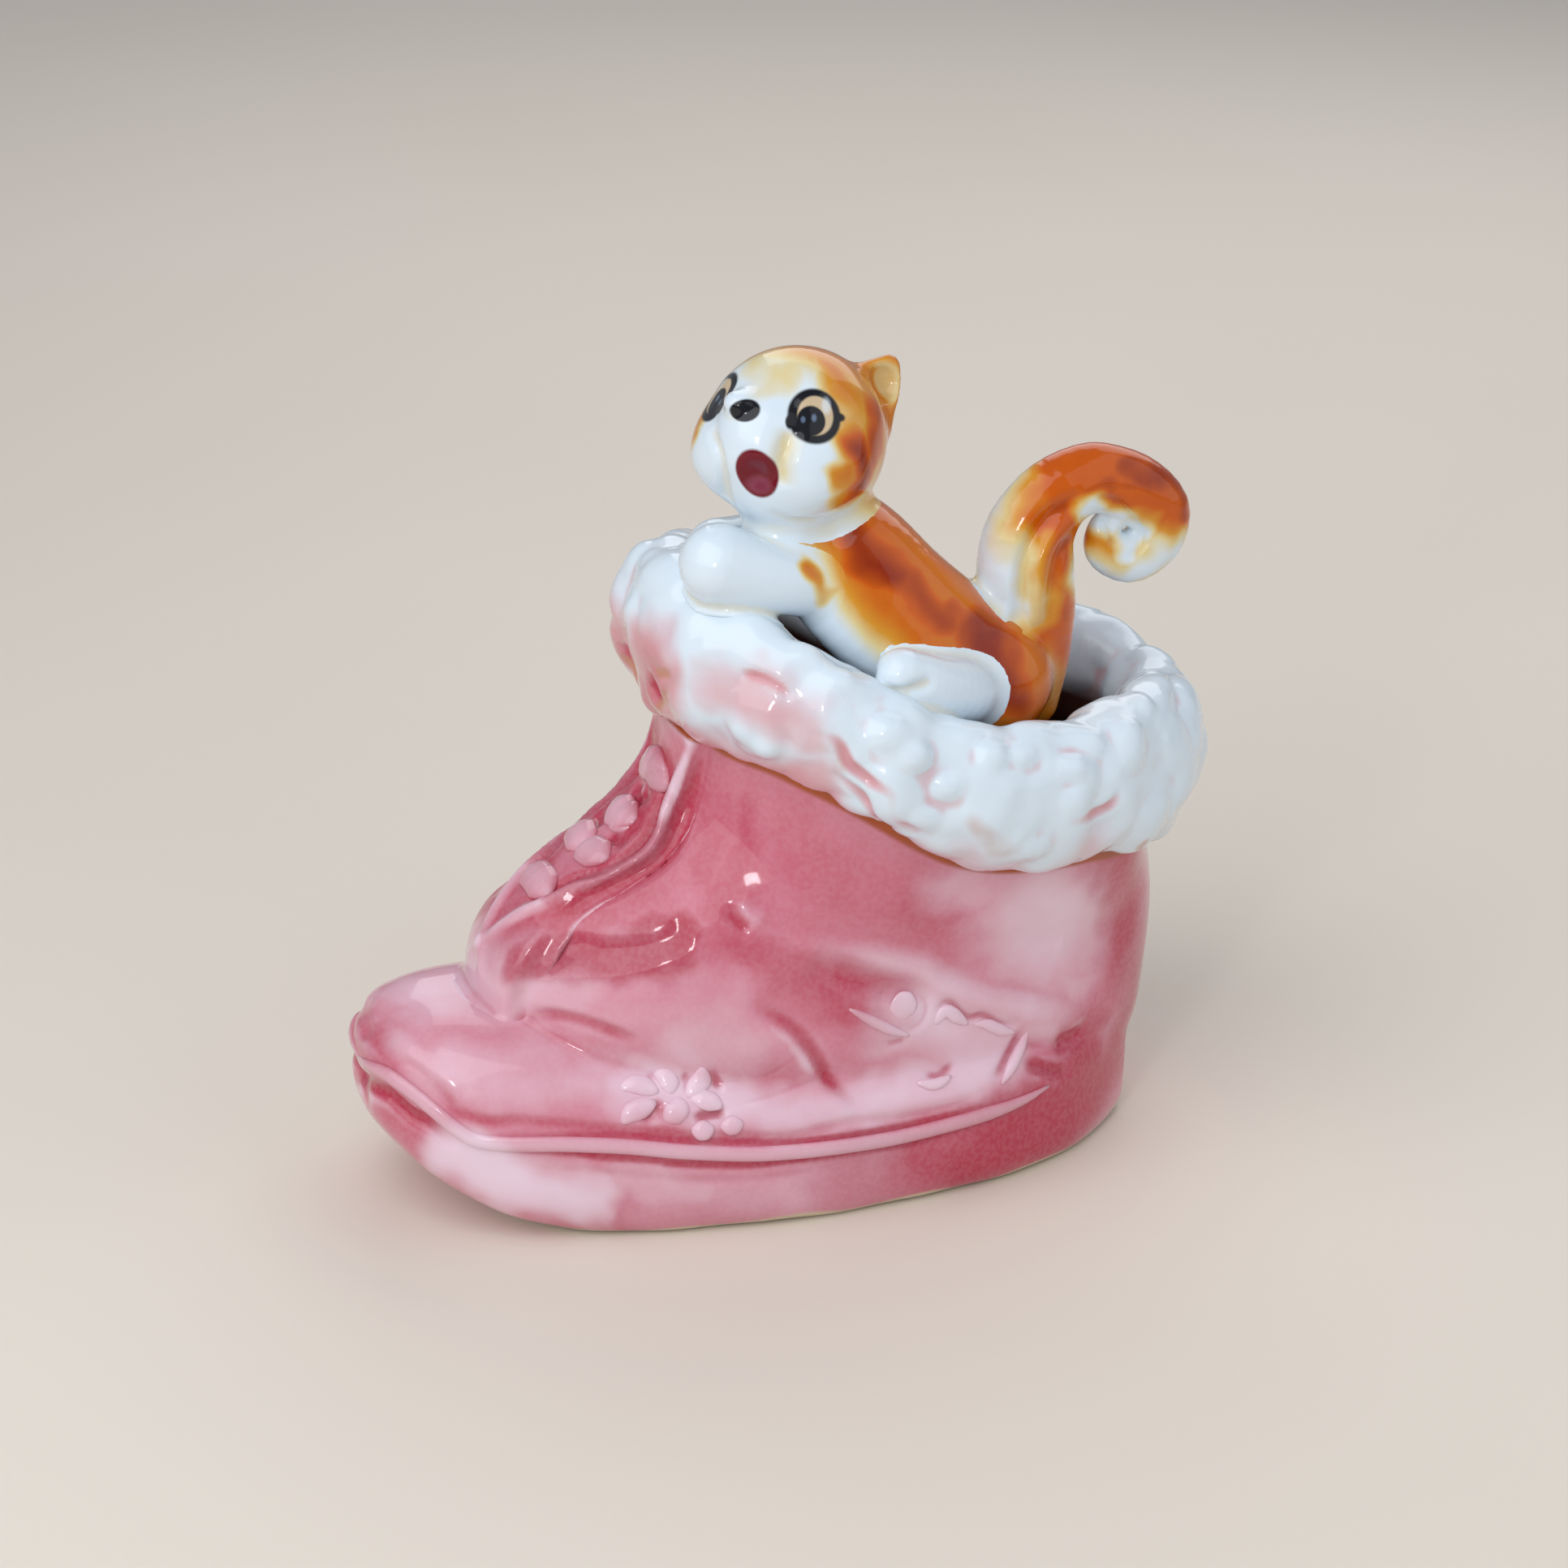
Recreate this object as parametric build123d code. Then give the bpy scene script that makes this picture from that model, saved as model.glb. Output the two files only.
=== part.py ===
"""A glazed squirrel ornament: a squirrel lying over the fur cuff of a baby's bootie.

Millimetres, +Z up. The toe points along -Y and the heel along +Y, and X = 0 is the middle
plane of the boot. The origin is on the table, at the middle of the box round the whole piece.
Every cast part is luted to its neighbour with slip and glazed over, so nothing moves.
"""

from build123d import *
import math
import os

# Driving sizes of the boot
overall_length = 107.3
heel_to_cuff_back = 5.2
foot_width = 50.6
toe_height = 26.0
rim_height = 62.0
shaft_width = 49.0
wall = 4.0
foot_flat = 2.4

# Driving sizes of the fur cuff
cuff_height = 79.5
cuff_width = 61.0
cuff_length = 72.5
cuff_thickness = 12.0

# Driving sizes of the reliefs on the boot
welt_proud = 0.7
welt_height = 3.0
panel_proud = 2.0
panel_width = 16.0
lace_proud = 0.9
lace_loop_length = 5.6
sprig_proud = 0.9
flower_diameter = 12.5
leaf_length = 15.0

# Driving sizes of the squirrel
squirrel_height = 42.5
head_diameter = 22.4
torso_diameter = 16.2
arm_diameter = 7.4
leg_diameter = 8.4
tail_diameter = 9.6
curl_diameter = 13.6
ear_length = 7.0
ear_width = 8.0

overrun = 5.0
flat_slack = 1e-8

# How full the ovals are: 2 is a true oval, and more is squarer
foot_top_fullness = 2.2
foot_under_fullness = 8.0
foot_side_fullness = 2.6
shaft_side_fullness = 2.3
shaft_end_fullness = 2.1

# Places that follow from the sizes
toe_tip_y = -overall_length / 2
cuff_back_y = overall_length / 2
foot_length = overall_length - heel_to_cuff_back
ring_y = cuff_back_y - cuff_length / 2
ring_half_length = (cuff_length - cuff_thickness) / 2
ring_half_width = (cuff_width - cuff_thickness) / 2

# The foot, from the toe tip to the heel, as shares of its length, half width and toe height:
# place, half width, underside, widest level, top
foot_shares = (
    (0.000, 0.13, 0.62, 0.68, 0.78),
    (0.010, 0.28, 0.53, 0.67, 0.88),
    (0.036, 0.43, 0.41, 0.64, 0.95),
    (0.074, 0.575, 0.28, 0.58, 0.99),
    (0.122, 0.68, 0.165, 0.51, 1.00),
    (0.179, 0.76, 0.075, 0.45, 0.985),
    (0.251, 0.83, 0.00, 0.42, 0.95),
    (0.337, 0.91, 0.00, 0.40, 0.93),
    (0.442, 0.985, 0.00, 0.38, 0.92),
    (0.575, 1.00, 0.00, 0.38, 0.92),
    (0.709, 0.96, 0.00, 0.38, 0.90),
    (0.814, 0.83, 0.00, 0.39, 0.86),
    (0.890, 0.62, 0.00, 0.40, 0.78),
    (0.942, 0.40, 0.03, 0.40, 0.62),
)

# The upper, from the sole to the rim, as shares of foot length, rim height and half shaft width:
# front place, front height, back place, back height, half width
upper_shares = (
    (0.368, 0.060, 0.925, 0.050, 0.70),
    (0.248, 0.190, 0.965, 0.150, 0.84),
    (0.178, 0.330, 0.990, 0.270, 0.93),
    (0.160, 0.450, 0.996, 0.370, 0.92),
    (0.185, 0.540, 0.998, 0.430, 0.90),
    (0.265, 0.645, 0.994, 0.480, 0.91),
    (0.349, 0.735, 0.988, 0.525, 0.94),
    (0.395, 0.850, 0.982, 0.575, 0.98),
    (0.402, 1.000, 0.978, 0.660, 1.00),
)

# Underside and crest of the cuff from the toe round to the heel, as shares of cuff height,
# and its thickness there as a share of the cuff thickness
cuff_shares = (
    (0.728, 0.990, 1.14),
    (0.724, 0.985, 1.10),
    (0.712, 0.962, 1.07),
    (0.692, 0.920, 0.97),
    (0.648, 0.868, 1.04),
    (0.585, 0.815, 0.98),
    (0.541, 0.775, 1.05),
    (0.528, 0.765, 0.97),
    (0.516, 0.762, 1.04),
    (0.500, 0.757, 0.98),
    (0.490, 0.748, 1.05),
    (0.472, 0.742, 0.99),
    (0.460, 0.738, 1.00),
)

# The welt's line from the toe tip to its end, as shares of foot length and toe height
welt_shares = ((-0.05, 0.76), (0.0, 0.76), (0.03, 0.747), (0.052, 0.682), (0.074, 0.600), (0.093, 0.552),
               (0.121, 0.534), (0.198, 0.512), (0.266, 0.484), (0.325, 0.446), (0.401, 0.411), (0.511, 0.391),
               (0.632, 0.395), (0.744, 0.416), (0.80, 0.44))

# Lace loops from the throat up, as shares of rim height, panel width and loop length:
# height, middle, tilt in turns, length
lace_shares = ((0.50, 0.24, 0.03, 1.0), (0.60, 0.25, 0.04, 1.0), (0.70, 0.25, 0.07, 1.0),
               (0.82, 0.24, 0.17, 0.9))

# The lace loops' width as a share of their length, and the panel's low end as a share of rim height
lace_width_share = 0.55
panel_low_share = 0.40
# The panel's edge going up: shares of its half width and of its height
panel_edge_shares = ((1.05, 0.2), (0.9, 0.35), (1.0, 0.5), (0.85, 0.65), (0.9, 1.0))

# The flower: its middle on the side wall as shares of foot length and toe height, then its petals and
# buds as shares of its diameter: along, up, length, width, and their tilt in turns
flower_place_shares = (0.322, 0.669)
petal_shares = ((-0.33, 0.14, 0.30, 0.22, 0.06), (0.0, 0.18, 0.36, 0.24, -0.04),
                (0.31, 0.14, 0.34, 0.22, 0.27), (-0.45, -0.07, 0.28, 0.24, 0.20),
                (0.03, -0.09, 0.40, 0.24, 0.03), (0.36, -0.05, 0.30, 0.20, 0.10),
                (0.25, -0.26, 0.22, 0.17, 0.0), (0.49, -0.25, 0.20, 0.19, 0.0))

# The leaf: its middle on the side wall, then its berry, stalk and folds as shares of its length
leaf_place_shares = (0.655, 0.81)
leaf_shares = ((-0.39, 0.23, 0.36, 0.34, 0.0), (-0.60, 0.22, 0.50, 0.12, -0.09),
               (0.0, 0.19, 0.34, 0.13, -0.02), (0.30, 0.09, 0.36, 0.13, -0.06),
               (0.52, -0.27, 0.48, 0.15, 0.145), (-0.09, -0.26, 0.30, 0.10, 0.03))

# A pressed bead's rings, from its sunk foot to its top: height as a share of how proud it stands, and
# the share of its size there
bead_shares = ((-1.6, 1.0), (0.45, 1.0), (0.85, 0.8), (1.0, 0.5))

# A piece cut off with less than this share of the largest piece's volume is a crumb
crumb_share = 0.05

# Squirrel places over the mouth, as shares of half cuff width, half cuff length and squirrel height
torso_place_shares = ((0.131, -0.349, 0.438), (0.213, -0.273, 0.354), (0.279, -0.157, 0.226),
                      (0.311, 0.002, 0.086), (0.311, 0.12, -0.014))
torso_radius_shares = (0.80, 0.94, 1.0, 1.02, 0.90)
head_place_shares = (0.098, -0.457, 0.714)
near_arm_place_shares = ((0.328, -0.401, 0.303), (0.361, -0.634, 0.398), (0.328, -0.786, 0.449))
far_arm_place_shares = ((-0.098, -0.381, 0.322), (-0.131, -0.513, 0.365), (-0.049, -0.676, 0.411))
arm_radius_shares = (1.0, 0.94, 1.24)
near_leg_place_shares = ((0.426, 0.08, -0.006), (0.541, -0.017, 0.033), (0.639, -0.151, 0.094),
                         (0.672, -0.269, 0.156))
far_leg_place_shares = ((0.131, 0.183, -0.032), (-0.033, 0.151, -0.057), (-0.066, 0.03, 0.012),
                        (-0.066, -0.089, 0.1))
leg_radius_shares = (0.95, 1.0, 0.92, 0.66)
tail_place_shares = ((0.311, 0.317, -0.098), (0.311, 0.327, 0.03), (0.311, 0.318, 0.167),
                     (0.311, 0.279, 0.293), (0.311, 0.291, 0.413), (0.311, 0.371, 0.508),
                     (0.311, 0.499, 0.547), (0.311, 0.625, 0.517))
tail_radius_shares = (0.66, 0.84, 1.05, 1.27, 1.15, 0.96, 0.88, 0.86)
curl_place_shares = (0.311, 0.656, 0.419)
near_ear_place_shares = ((0.066, -0.201, 0.817), (0.033, -0.093, 0.902))
far_ear_place_shares = ((-0.226, -0.457, 0.755), (-0.311, -0.372, 0.821))
# The round curl at the tail's end: place across its half thickness, and reach of its radius
curl_shares = ((-1, 0.45), (-0.7, 0.82), (0, 1), (0.7, 0.82), (1, 0.45))
# The curl's thickness as a share of the tail's diameter, and its slit as shares of its own diameter
curl_thickness_share = 0.8
slit_place_shares = (-0.22, -0.1)
slit_size_shares = (0.4, 0.09)
slit_tilt = 110
# The tail is narrower across than it is deep, by this share
tail_flatness_share = 0.85
# An ear from its root to its tip: place along its length, and reach of its width
ear_shares = ((-0.35, 1.0), (0.1, 0.95), (0.5, 0.66), (0.8, 0.36), (1.0, 0.1))
# Where the rings of a limb's rounded end lie, as shares of its end radius
cap_shares = (0.95, 0.75, 0.4)

# Muzzle and cheek balls, as shares of half the head diameter: across, along, up, radius
muzzle_shares = ((0.40, -0.55, 0.05, 0.52), (0.66, -0.22, -0.24, 0.60), (-0.20, -0.52, -0.28, 0.44))


def bulge(share, fullness):
    """One coordinate of a full oval: a share of 1 stays, and the rest moves out with the fullness."""
    return math.copysign(abs(share) ** (2 / fullness), share)


def closed_face(points):
    return make_face(Spline(*points, periodic=True))


def foot_section(row, grow):
    place_share, width_share, under_share, level_share, top_share = row
    y = toe_tip_y + place_share * foot_length
    half_width = width_share * foot_width / 2 + grow
    level = level_share * toe_height
    rise = top_share * toe_height + grow - level
    drop = level - under_share * toe_height + foot_flat + grow
    points = []
    for step in range(16):
        angle = math.tau * step / 16
        across, up = math.cos(angle), math.sin(angle)
        height = rise * bulge(up, foot_top_fullness) if up > 0 else drop * bulge(up, foot_under_fullness)
        points.append((half_width * bulge(across, foot_side_fullness), y, level + height))
    return closed_face(points)


def upper_section(row, grow):
    front_share, front_height_share, back_share, back_height_share, width_share = row
    front = Vector(0, toe_tip_y + front_share * foot_length, front_height_share * rim_height)
    back = Vector(0, toe_tip_y + back_share * foot_length, back_height_share * rim_height)
    middle = (front + back) * 0.5
    along = (back - front).normalized()
    half_length = (back - front).length / 2 + grow
    half_width = width_share * shaft_width / 2 + grow
    points = []
    for step in range(16):
        angle = math.tau * step / 16
        side = Vector(half_width * bulge(math.sin(angle), shaft_side_fullness), 0, 0)
        points.append(middle - along * (half_length * bulge(math.cos(angle), shaft_end_fullness)) + side)
    return closed_face(points)


def below_floor(level):
    size = 2 * overall_length
    return Pos(0, 0, level) * Box(size, size, size, align=(Align.CENTER, Align.CENTER, Align.MAX))


def has_room(row, grow):
    """Whether a foot section still has some width and height once it is moved by grow."""
    _, width_share, under_share, _, top_share = row
    least = -grow / 2
    return (width_share * foot_width / 2 + grow > least
            and (top_share - under_share) * toe_height / 2 + grow > least)


def foot_form(grow):
    """The foot moved outward by grow. Inside the wall, its flat heel end moves in as well."""
    sections = [foot_section(row, grow) for row in foot_shares if has_room(row, grow)]
    sections[-1] = Pos(0, min(grow, 0), 0) * sections[-1]
    return loft(sections)


def upper_form(grow, top_overrun):
    rows = [upper_section(row, grow) for row in upper_shares]
    if top_overrun:
        rows.append(Pos(0, 0, top_overrun) * rows[-1])
    return loft(rows)


def boot_form(grow, floor_level, top_overrun):
    """The whole outside of the boot moved outward by grow, flat underneath and solid."""
    return foot_form(grow) + upper_form(grow, top_overrun) - below_floor(floor_level)


def ring_point(angle):
    return ring_half_width * math.sin(angle), ring_y - ring_half_length * math.cos(angle)


def cuff_section(index, side):
    under_share, crest_share, thick_share = cuff_shares[index]
    angle = side * math.pi * index / (len(cuff_shares) - 1)
    x, y = ring_point(angle)
    under, crest = under_share * cuff_height, crest_share * cuff_height
    outward = Vector(math.sin(angle) / ring_half_width, -math.cos(angle) / ring_half_length, 0)
    plane = Plane(origin=(x, y, (under + crest) / 2), x_dir=outward, z_dir=outward.cross(Vector(0, 0, 1)))
    return plane * Ellipse(thick_share * cuff_thickness / 2, (crest - under) / 2)


def cuff_ring():
    halves = [loft([cuff_section(index, side) for index in range(len(cuff_shares))])
              for side in (1, -1)]
    return halves[0] + halves[1]


def ring_points(plane, half_width, half_height, sides):
    """The corners of an oval section with straight sides."""
    return [plane.from_local_coords((half_width * math.cos(math.tau * side / sides),
                                     half_height * math.sin(math.tau * side / sides)))
            for side in range(sides)]


def facet(corners):
    return Face(Wire.make_polygon(corners, close=True))


def skin(rings):
    """A closed solid of flat facets through rings of the same number of corners."""
    faces = [facet(rings[0]), facet(rings[-1])]
    sides = len(rings[0])
    for ring, following in zip(rings, rings[1:]):
        for side in range(sides):
            a, b = ring[side], ring[(side + 1) % sides]
            c, d = following[(side + 1) % sides], following[side]
            normal = (b - a).cross(d - a)
            if abs(normal.normalized().dot(c - a)) < flat_slack:
                faces.append(facet([a, b, c, d]))
            else:
                faces += [facet([a, b, c]), facet([a, c, d])]
    return Part() + Solid(Shell(faces))


def limb(points, radii, flatness, steps, sides):
    """A round, tapering limb along a smooth line through the points, with rounded ends."""
    line = Spline(*points)
    rows = []
    for step in range(steps + 1):
        share = step / steps
        place = share * (len(radii) - 1)
        index = min(int(place), len(radii) - 2)
        blend = place - index
        radius = radii[index] * (1 - blend) + radii[index + 1] * blend
        rows.append((line @ share, (line % share).normalized(), radius))
    start, end = rows[0], rows[-1]
    first_cap = [(start[0] - start[1] * (start[2] * cap), start[1], start[2] * math.sqrt(1 - cap * cap))
                 for cap in cap_shares]
    last_cap = [(end[0] + end[1] * (end[2] * cap), end[1], end[2] * math.sqrt(1 - cap * cap))
                for cap in reversed(cap_shares)]
    faces = []
    for origin, tangent, radius in first_cap + rows + last_cap:
        plane = Plane(origin=origin, x_dir=tangent.cross(Vector(1, 0, 0).cross(tangent)), z_dir=tangent)
        faces.append(facet(ring_points(plane, radius * flatness, radius, sides)))
    return loft(faces, ruled=True)


def ball(centre, radius, bands, sides):
    """A ball of flat-sided bands about an upright axis."""
    rings = []
    for band in range(bands + 1):
        angle = math.pi * (band + 0.5) / (bands + 1)
        plane = Plane(origin=centre + Vector(0, 0, -radius * math.cos(angle)))
        reach = radius * math.sin(angle)
        rings.append(ring_points(plane, reach, reach, sides))
    return skin(rings)


def in_mouth(across_share, along_share, up_share):
    """A place over the boot's mouth, in shares of the cuff's half sizes and the squirrel's height."""
    side_crest = cuff_shares[6][1] * cuff_height
    return Vector(across_share * cuff_width / 2, ring_y + along_share * cuff_length / 2,
                  side_crest + up_share * squirrel_height)


def side_prism(outline):
    """A side view outline of (y, z) points pushed from the middle plane out through the near wall."""
    return extrude(Plane.YZ * outline, foot_width)


def front_prism(outline):
    """A front view outline of (x, z) points pushed from the middle of the mouth out through the toe."""
    front = Plane(origin=(0, ring_y, 0), x_dir=(1, 0, 0), z_dir=(0, -1, 0))
    return extrude(front * outline, overall_length)


def main_solid(shape):
    """The largest solid of a shape, without the crumbs that a cut may leave."""
    return Part() + shape.solids().sort_by(SortBy.VOLUME)[-1]


def whole_solids(shape):
    """Every solid of a shape that is more than a crumb."""
    solids = shape.solids().sort_by(SortBy.VOLUME)
    return Compound(children=[solid for solid in solids if solid.volume > solids[-1].volume * crumb_share])


def sole_welt(foot_outside, outside):
    """The moulded bead round the toe and along both sides, standing proud of the boot."""
    line = [(toe_tip_y + along * foot_length, up * toe_height) for along, up in welt_shares]
    upper_edge = [(y, z + welt_height / 2) for y, z in line]
    lower_edge = [(y, z - welt_height / 2) for y, z in line]
    band = make_face(Polyline(*upper_edge, *reversed(lower_edge), close=True))
    prism = side_prism(band)
    return main_solid(foot_outside & (prism + mirror(prism, about=Plane.YZ)) - outside)


def lace_panel(upper_outside, outside, ring):
    """The raised strip down the front of the upper that carries the laces."""
    half = panel_width / 2
    low, high = rim_height * panel_low_share, rim_height
    outline = [(-half, low), (half, low)]
    outline += [(half * share, low + (high - low) * up_share) for share, up_share in panel_edge_shares]
    outline += [(-x, z) for x, z in reversed(outline[2:])]
    return main_solid(upper_outside & front_prism(make_face(Polyline(*outline, close=True))) - outside - ring)


def first_wall(form, start, direction):
    """Where a line from outside first meets a form, and which way the form faces there."""
    hits = form.find_intersection_points(Axis(start, direction))
    place, facing = min(hits, key=lambda hit: (hit[0] - Vector(*start)).length)
    return place, facing if facing.dot(Vector(*direction)) < 0 else -facing


def bead(form, start, direction, length, width, tilt, proud):
    """A rounded bead of clay pressed on a form where a line from outside meets it."""
    place, facing = first_wall(form, start, direction)
    plane = Plane(origin=place, x_dir=Vector(0, 0, 1).cross(facing), z_dir=facing).rotated((0, 0, tilt * 360))
    rings = [ring_points(plane.offset(height * proud), size * length / 2, size * width / 2, 10)
             for height, size in bead_shares]
    return skin(rings)


def lace_loops(panel_outside):
    """Oval loops of lace on the panel, in pairs."""
    loops = []
    for height_share, middle_share, tilt_share, length_share in lace_shares:
        length = length_share * lace_loop_length
        for side in (1, -1):
            start = (side * middle_share * panel_width, -overall_length, height_share * rim_height)
            loop = bead(panel_outside, start, (0, 1, 0), length, length * lace_width_share, side * tilt_share,
                        lace_proud)
            loops += (loop - panel_outside).solids()
    return Compound(children=loops)


def sprig(outside, place_shares, bead_places, size):
    """A relief of beads on the near side wall, pressed from a mould and luted on."""
    along_share, up_share = place_shares
    middle_y, middle_z = toe_tip_y + along_share * foot_length, up_share * toe_height
    relief = Part()
    for across, up, length_share, width_share, tilt_share in bead_places:
        start = (foot_width, middle_y + across * size, middle_z + up * size)
        relief += bead(outside, start, (-1, 0, 0), length_share * size, width_share * size, tilt_share,
                       sprig_proud)
    return whole_solids(relief - outside)


def head_form():
    centre = in_mouth(*head_place_shares)
    radius = head_diameter / 2
    head = ball(centre, radius, 11, 24)
    for across, along, up, size in muzzle_shares:
        head += ball(centre + Vector(across, along, up) * radius, size * radius, 7, 16)
    return head


def ear(place_shares, head):
    base, tip = (in_mouth(*shares) for shares in place_shares)
    direction = (tip - base).normalized()
    plane = Plane(origin=base, x_dir=direction.cross(Vector(1, 0, 0)), z_dir=direction)
    rings = [ring_points(plane.offset(share * ear_length), width * ear_width / 2, width * ear_width / 4, 12)
             for share, width in ear_shares]
    return main_solid(skin(rings) - head)


def squirrel_limb(place_shares, radius_shares, diameter, flatness=1.0, steps=5, sides=10):
    points = [in_mouth(*shares) for shares in place_shares]
    return limb(points, [share * diameter / 2 for share in radius_shares], flatness, steps, sides)


def tail_form():
    """A broad tail that rises from the rump and ends in a round curl, closed to a slit."""
    stem = squirrel_limb(tail_place_shares, tail_radius_shares, tail_diameter, tail_flatness_share, 11, 12)
    curl = in_mouth(*curl_place_shares)
    thickness = tail_diameter * curl_thickness_share
    rings = [ring_points(Plane(origin=curl + Vector(across * thickness / 2, 0, 0), z_dir=(1, 0, 0)),
                         reach * curl_diameter / 2, reach * curl_diameter / 2, 16)
             for across, reach in curl_shares]
    slit_place = Pos(*(curl_diameter * share for share in slit_place_shares)) * Rot(0, 0, slit_tilt)
    slit_outline = Ellipse(*(curl_diameter * share / 2 for share in slit_size_shares))
    slit = Plane(origin=curl, z_dir=(1, 0, 0)) * slit_place * slit_outline
    return stem + skin(rings) - extrude(slit, thickness, both=True)


def build_boot(ring):
    foot_outside = foot_form(welt_proud)
    outside = boot_form(0, 0, 0)
    panel_outside = upper_form(panel_proud, 0)
    flower = sprig(outside, flower_place_shares, petal_shares, flower_diameter)
    leaf = sprig(outside, leaf_place_shares, leaf_shares, leaf_length)
    parts = {
        "boot_body": outside - boot_form(-wall, wall, overrun),
        "fur_cuff": main_solid(ring - outside),
        "sole_welt": sole_welt(foot_outside, outside),
        "lace_panel": lace_panel(panel_outside, outside, ring),
        "lace_loops": lace_loops(panel_outside),
        "near_flower_sprig": flower,
        "near_leaf_sprig": leaf,
        "far_flower_sprig": mirror(flower, about=Plane.YZ),
        "far_leaf_sprig": mirror(leaf, about=Plane.YZ),
    }
    return parts


def build_squirrel(ring):
    torso = main_solid(squirrel_limb(torso_place_shares, torso_radius_shares, torso_diameter, 1, 6, 16)
                       - ring)
    head = main_solid(head_form() - torso)
    near_arm = main_solid(squirrel_limb(near_arm_place_shares, arm_radius_shares, arm_diameter)
                          - torso - head - ring)
    far_arm = main_solid(squirrel_limb(far_arm_place_shares, arm_radius_shares, arm_diameter)
                         - torso - head - ring - near_arm)
    near_leg = main_solid(squirrel_limb(near_leg_place_shares, leg_radius_shares, leg_diameter)
                          - torso - ring)
    far_leg = main_solid(squirrel_limb(far_leg_place_shares, leg_radius_shares, leg_diameter)
                         - torso - ring - near_leg)
    tail = main_solid(tail_form() - torso - ring - near_leg - far_leg)
    return {
        "squirrel_torso": torso,
        "squirrel_head": head,
        "near_ear": ear(near_ear_place_shares, head),
        "far_ear": ear(far_ear_place_shares, head),
        "near_arm": near_arm,
        "far_arm": far_arm,
        "near_hind_leg": near_leg,
        "far_hind_leg": far_leg,
        "squirrel_tail": tail,
    }


def main():
    os.makedirs("parts", exist_ok=True)
    ring = cuff_ring()
    parts = build_boot(ring)
    parts.update(build_squirrel(ring))
    for name, shape in parts.items():
        export_step(shape, f"parts/{name}.step")
        box = shape.bounding_box()
        print(name, len(shape.solids()), round(shape.volume, 1), box.min, box.max)


main()
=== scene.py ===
"""The looks of the glazed squirrel ornament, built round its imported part.

Lengths are millimetres in the part's own frame until a mesh is made. Places given as (across, down)
are points of the 1932 x 1932 photograph, and a line from the eye through them meets the surface.
"""
import math

import bpy
import numpy as np
import openvdb
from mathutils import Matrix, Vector, noise
from mathutils.bvhtree import BVHTree


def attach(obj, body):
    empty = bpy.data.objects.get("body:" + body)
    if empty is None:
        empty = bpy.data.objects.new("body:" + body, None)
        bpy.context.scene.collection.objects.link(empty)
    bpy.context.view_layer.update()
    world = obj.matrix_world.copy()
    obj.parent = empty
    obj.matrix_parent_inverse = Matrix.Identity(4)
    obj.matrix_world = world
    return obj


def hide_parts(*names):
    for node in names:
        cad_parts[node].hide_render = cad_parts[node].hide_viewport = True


MM = 0.001
PICTURE = 1932
LENS = 100.0
SENSOR = 36.0
EYE_DISTANCE = 520.0
EYE_TURN = math.radians(70)
EYE_RISE = math.radians(24)
TARGET = np.array((7.0, -2.02, 50.0))

BACK = np.array((math.sin(EYE_TURN) * math.cos(EYE_RISE), -math.cos(EYE_TURN) * math.cos(EYE_RISE),
                 math.sin(EYE_RISE)))
RIGHT = np.array((math.cos(EYE_TURN), math.sin(EYE_TURN), 0.0))
UP = np.cross(BACK, RIGHT)
EYE = TARGET + BACK * EYE_DISTANCE
FOCUS = PICTURE * LENS / SENSOR

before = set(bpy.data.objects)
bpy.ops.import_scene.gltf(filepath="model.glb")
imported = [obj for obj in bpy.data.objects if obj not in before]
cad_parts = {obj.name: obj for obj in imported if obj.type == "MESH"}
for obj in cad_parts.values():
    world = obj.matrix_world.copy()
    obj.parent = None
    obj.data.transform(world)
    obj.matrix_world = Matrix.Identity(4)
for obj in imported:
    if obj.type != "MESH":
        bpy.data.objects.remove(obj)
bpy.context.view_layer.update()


def unit(v):
    v = np.asarray(v, float)
    return v / np.linalg.norm(v)


def ray(across, down):
    return unit(-BACK * FOCUS + RIGHT * (across - PICTURE / 2) - UP * (down - PICTURE / 2))


def on_plane(across, down, centre, forward):
    """The point seen at a place of the photograph, on a plane facing the eye in front of a centre."""
    direction = ray(across, down)
    reach = (np.dot(EYE - np.asarray(centre, float), BACK) - forward) / -np.dot(direction, BACK)
    return EYE + direction * reach


# Space cut into cells

class Room:
    """A box of space cut into cells."""

    def __init__(self, low, high, step):
        self.low = np.array(low, float)
        self.step = step
        self.count = [int(math.ceil((h - l) / step)) + 1 for l, h in zip(low, high)]
        self.axes = [(l + step * np.arange(n)).astype(np.float32) for l, n in zip(low, self.count)]

    def window(self, low, high):
        cuts = []
        for axis, l, h, n in zip(self.axes, low, high, self.count):
            first = max(0, int((l - axis[0]) / self.step))
            last = min(n, int((h - axis[0]) / self.step) + 2)
            cuts.append(slice(first, last))
        return tuple(cuts)

    def open(self, window=None):
        cuts = window or (slice(None),) * 3
        x, y, z = (axis[cut] for axis, cut in zip(self.axes, cuts))
        return x[:, None, None], y[None, :, None], z[None, None, :]


def smooth_min(a, b, k):
    h = np.maximum(k - np.abs(a - b), 0) / k
    return np.minimum(a, b) - h * h * k / 4


def egg(room, centre, radii, axes=np.eye(3), far=5.0):
    """Distance to an oval body."""
    reach = max(radii) + far
    window = room.window(np.asarray(centre) - reach, np.asarray(centre) + reach)
    d = [g - c for g, c in zip(room.open(window), centre)]
    local = [(a[0] * d[0] + a[1] * d[1] + a[2] * d[2]) / r for a, r in zip(axes, radii)]
    q = np.sqrt(sum(p * p for p in local))
    g = np.sqrt(sum((p / r) ** 2 for p, r in zip(local, radii)))
    field = np.full(room.count, far, np.float32)
    field[window] = np.minimum(q * (q - 1) / np.maximum(g, 1e-4), far)
    return field


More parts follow.
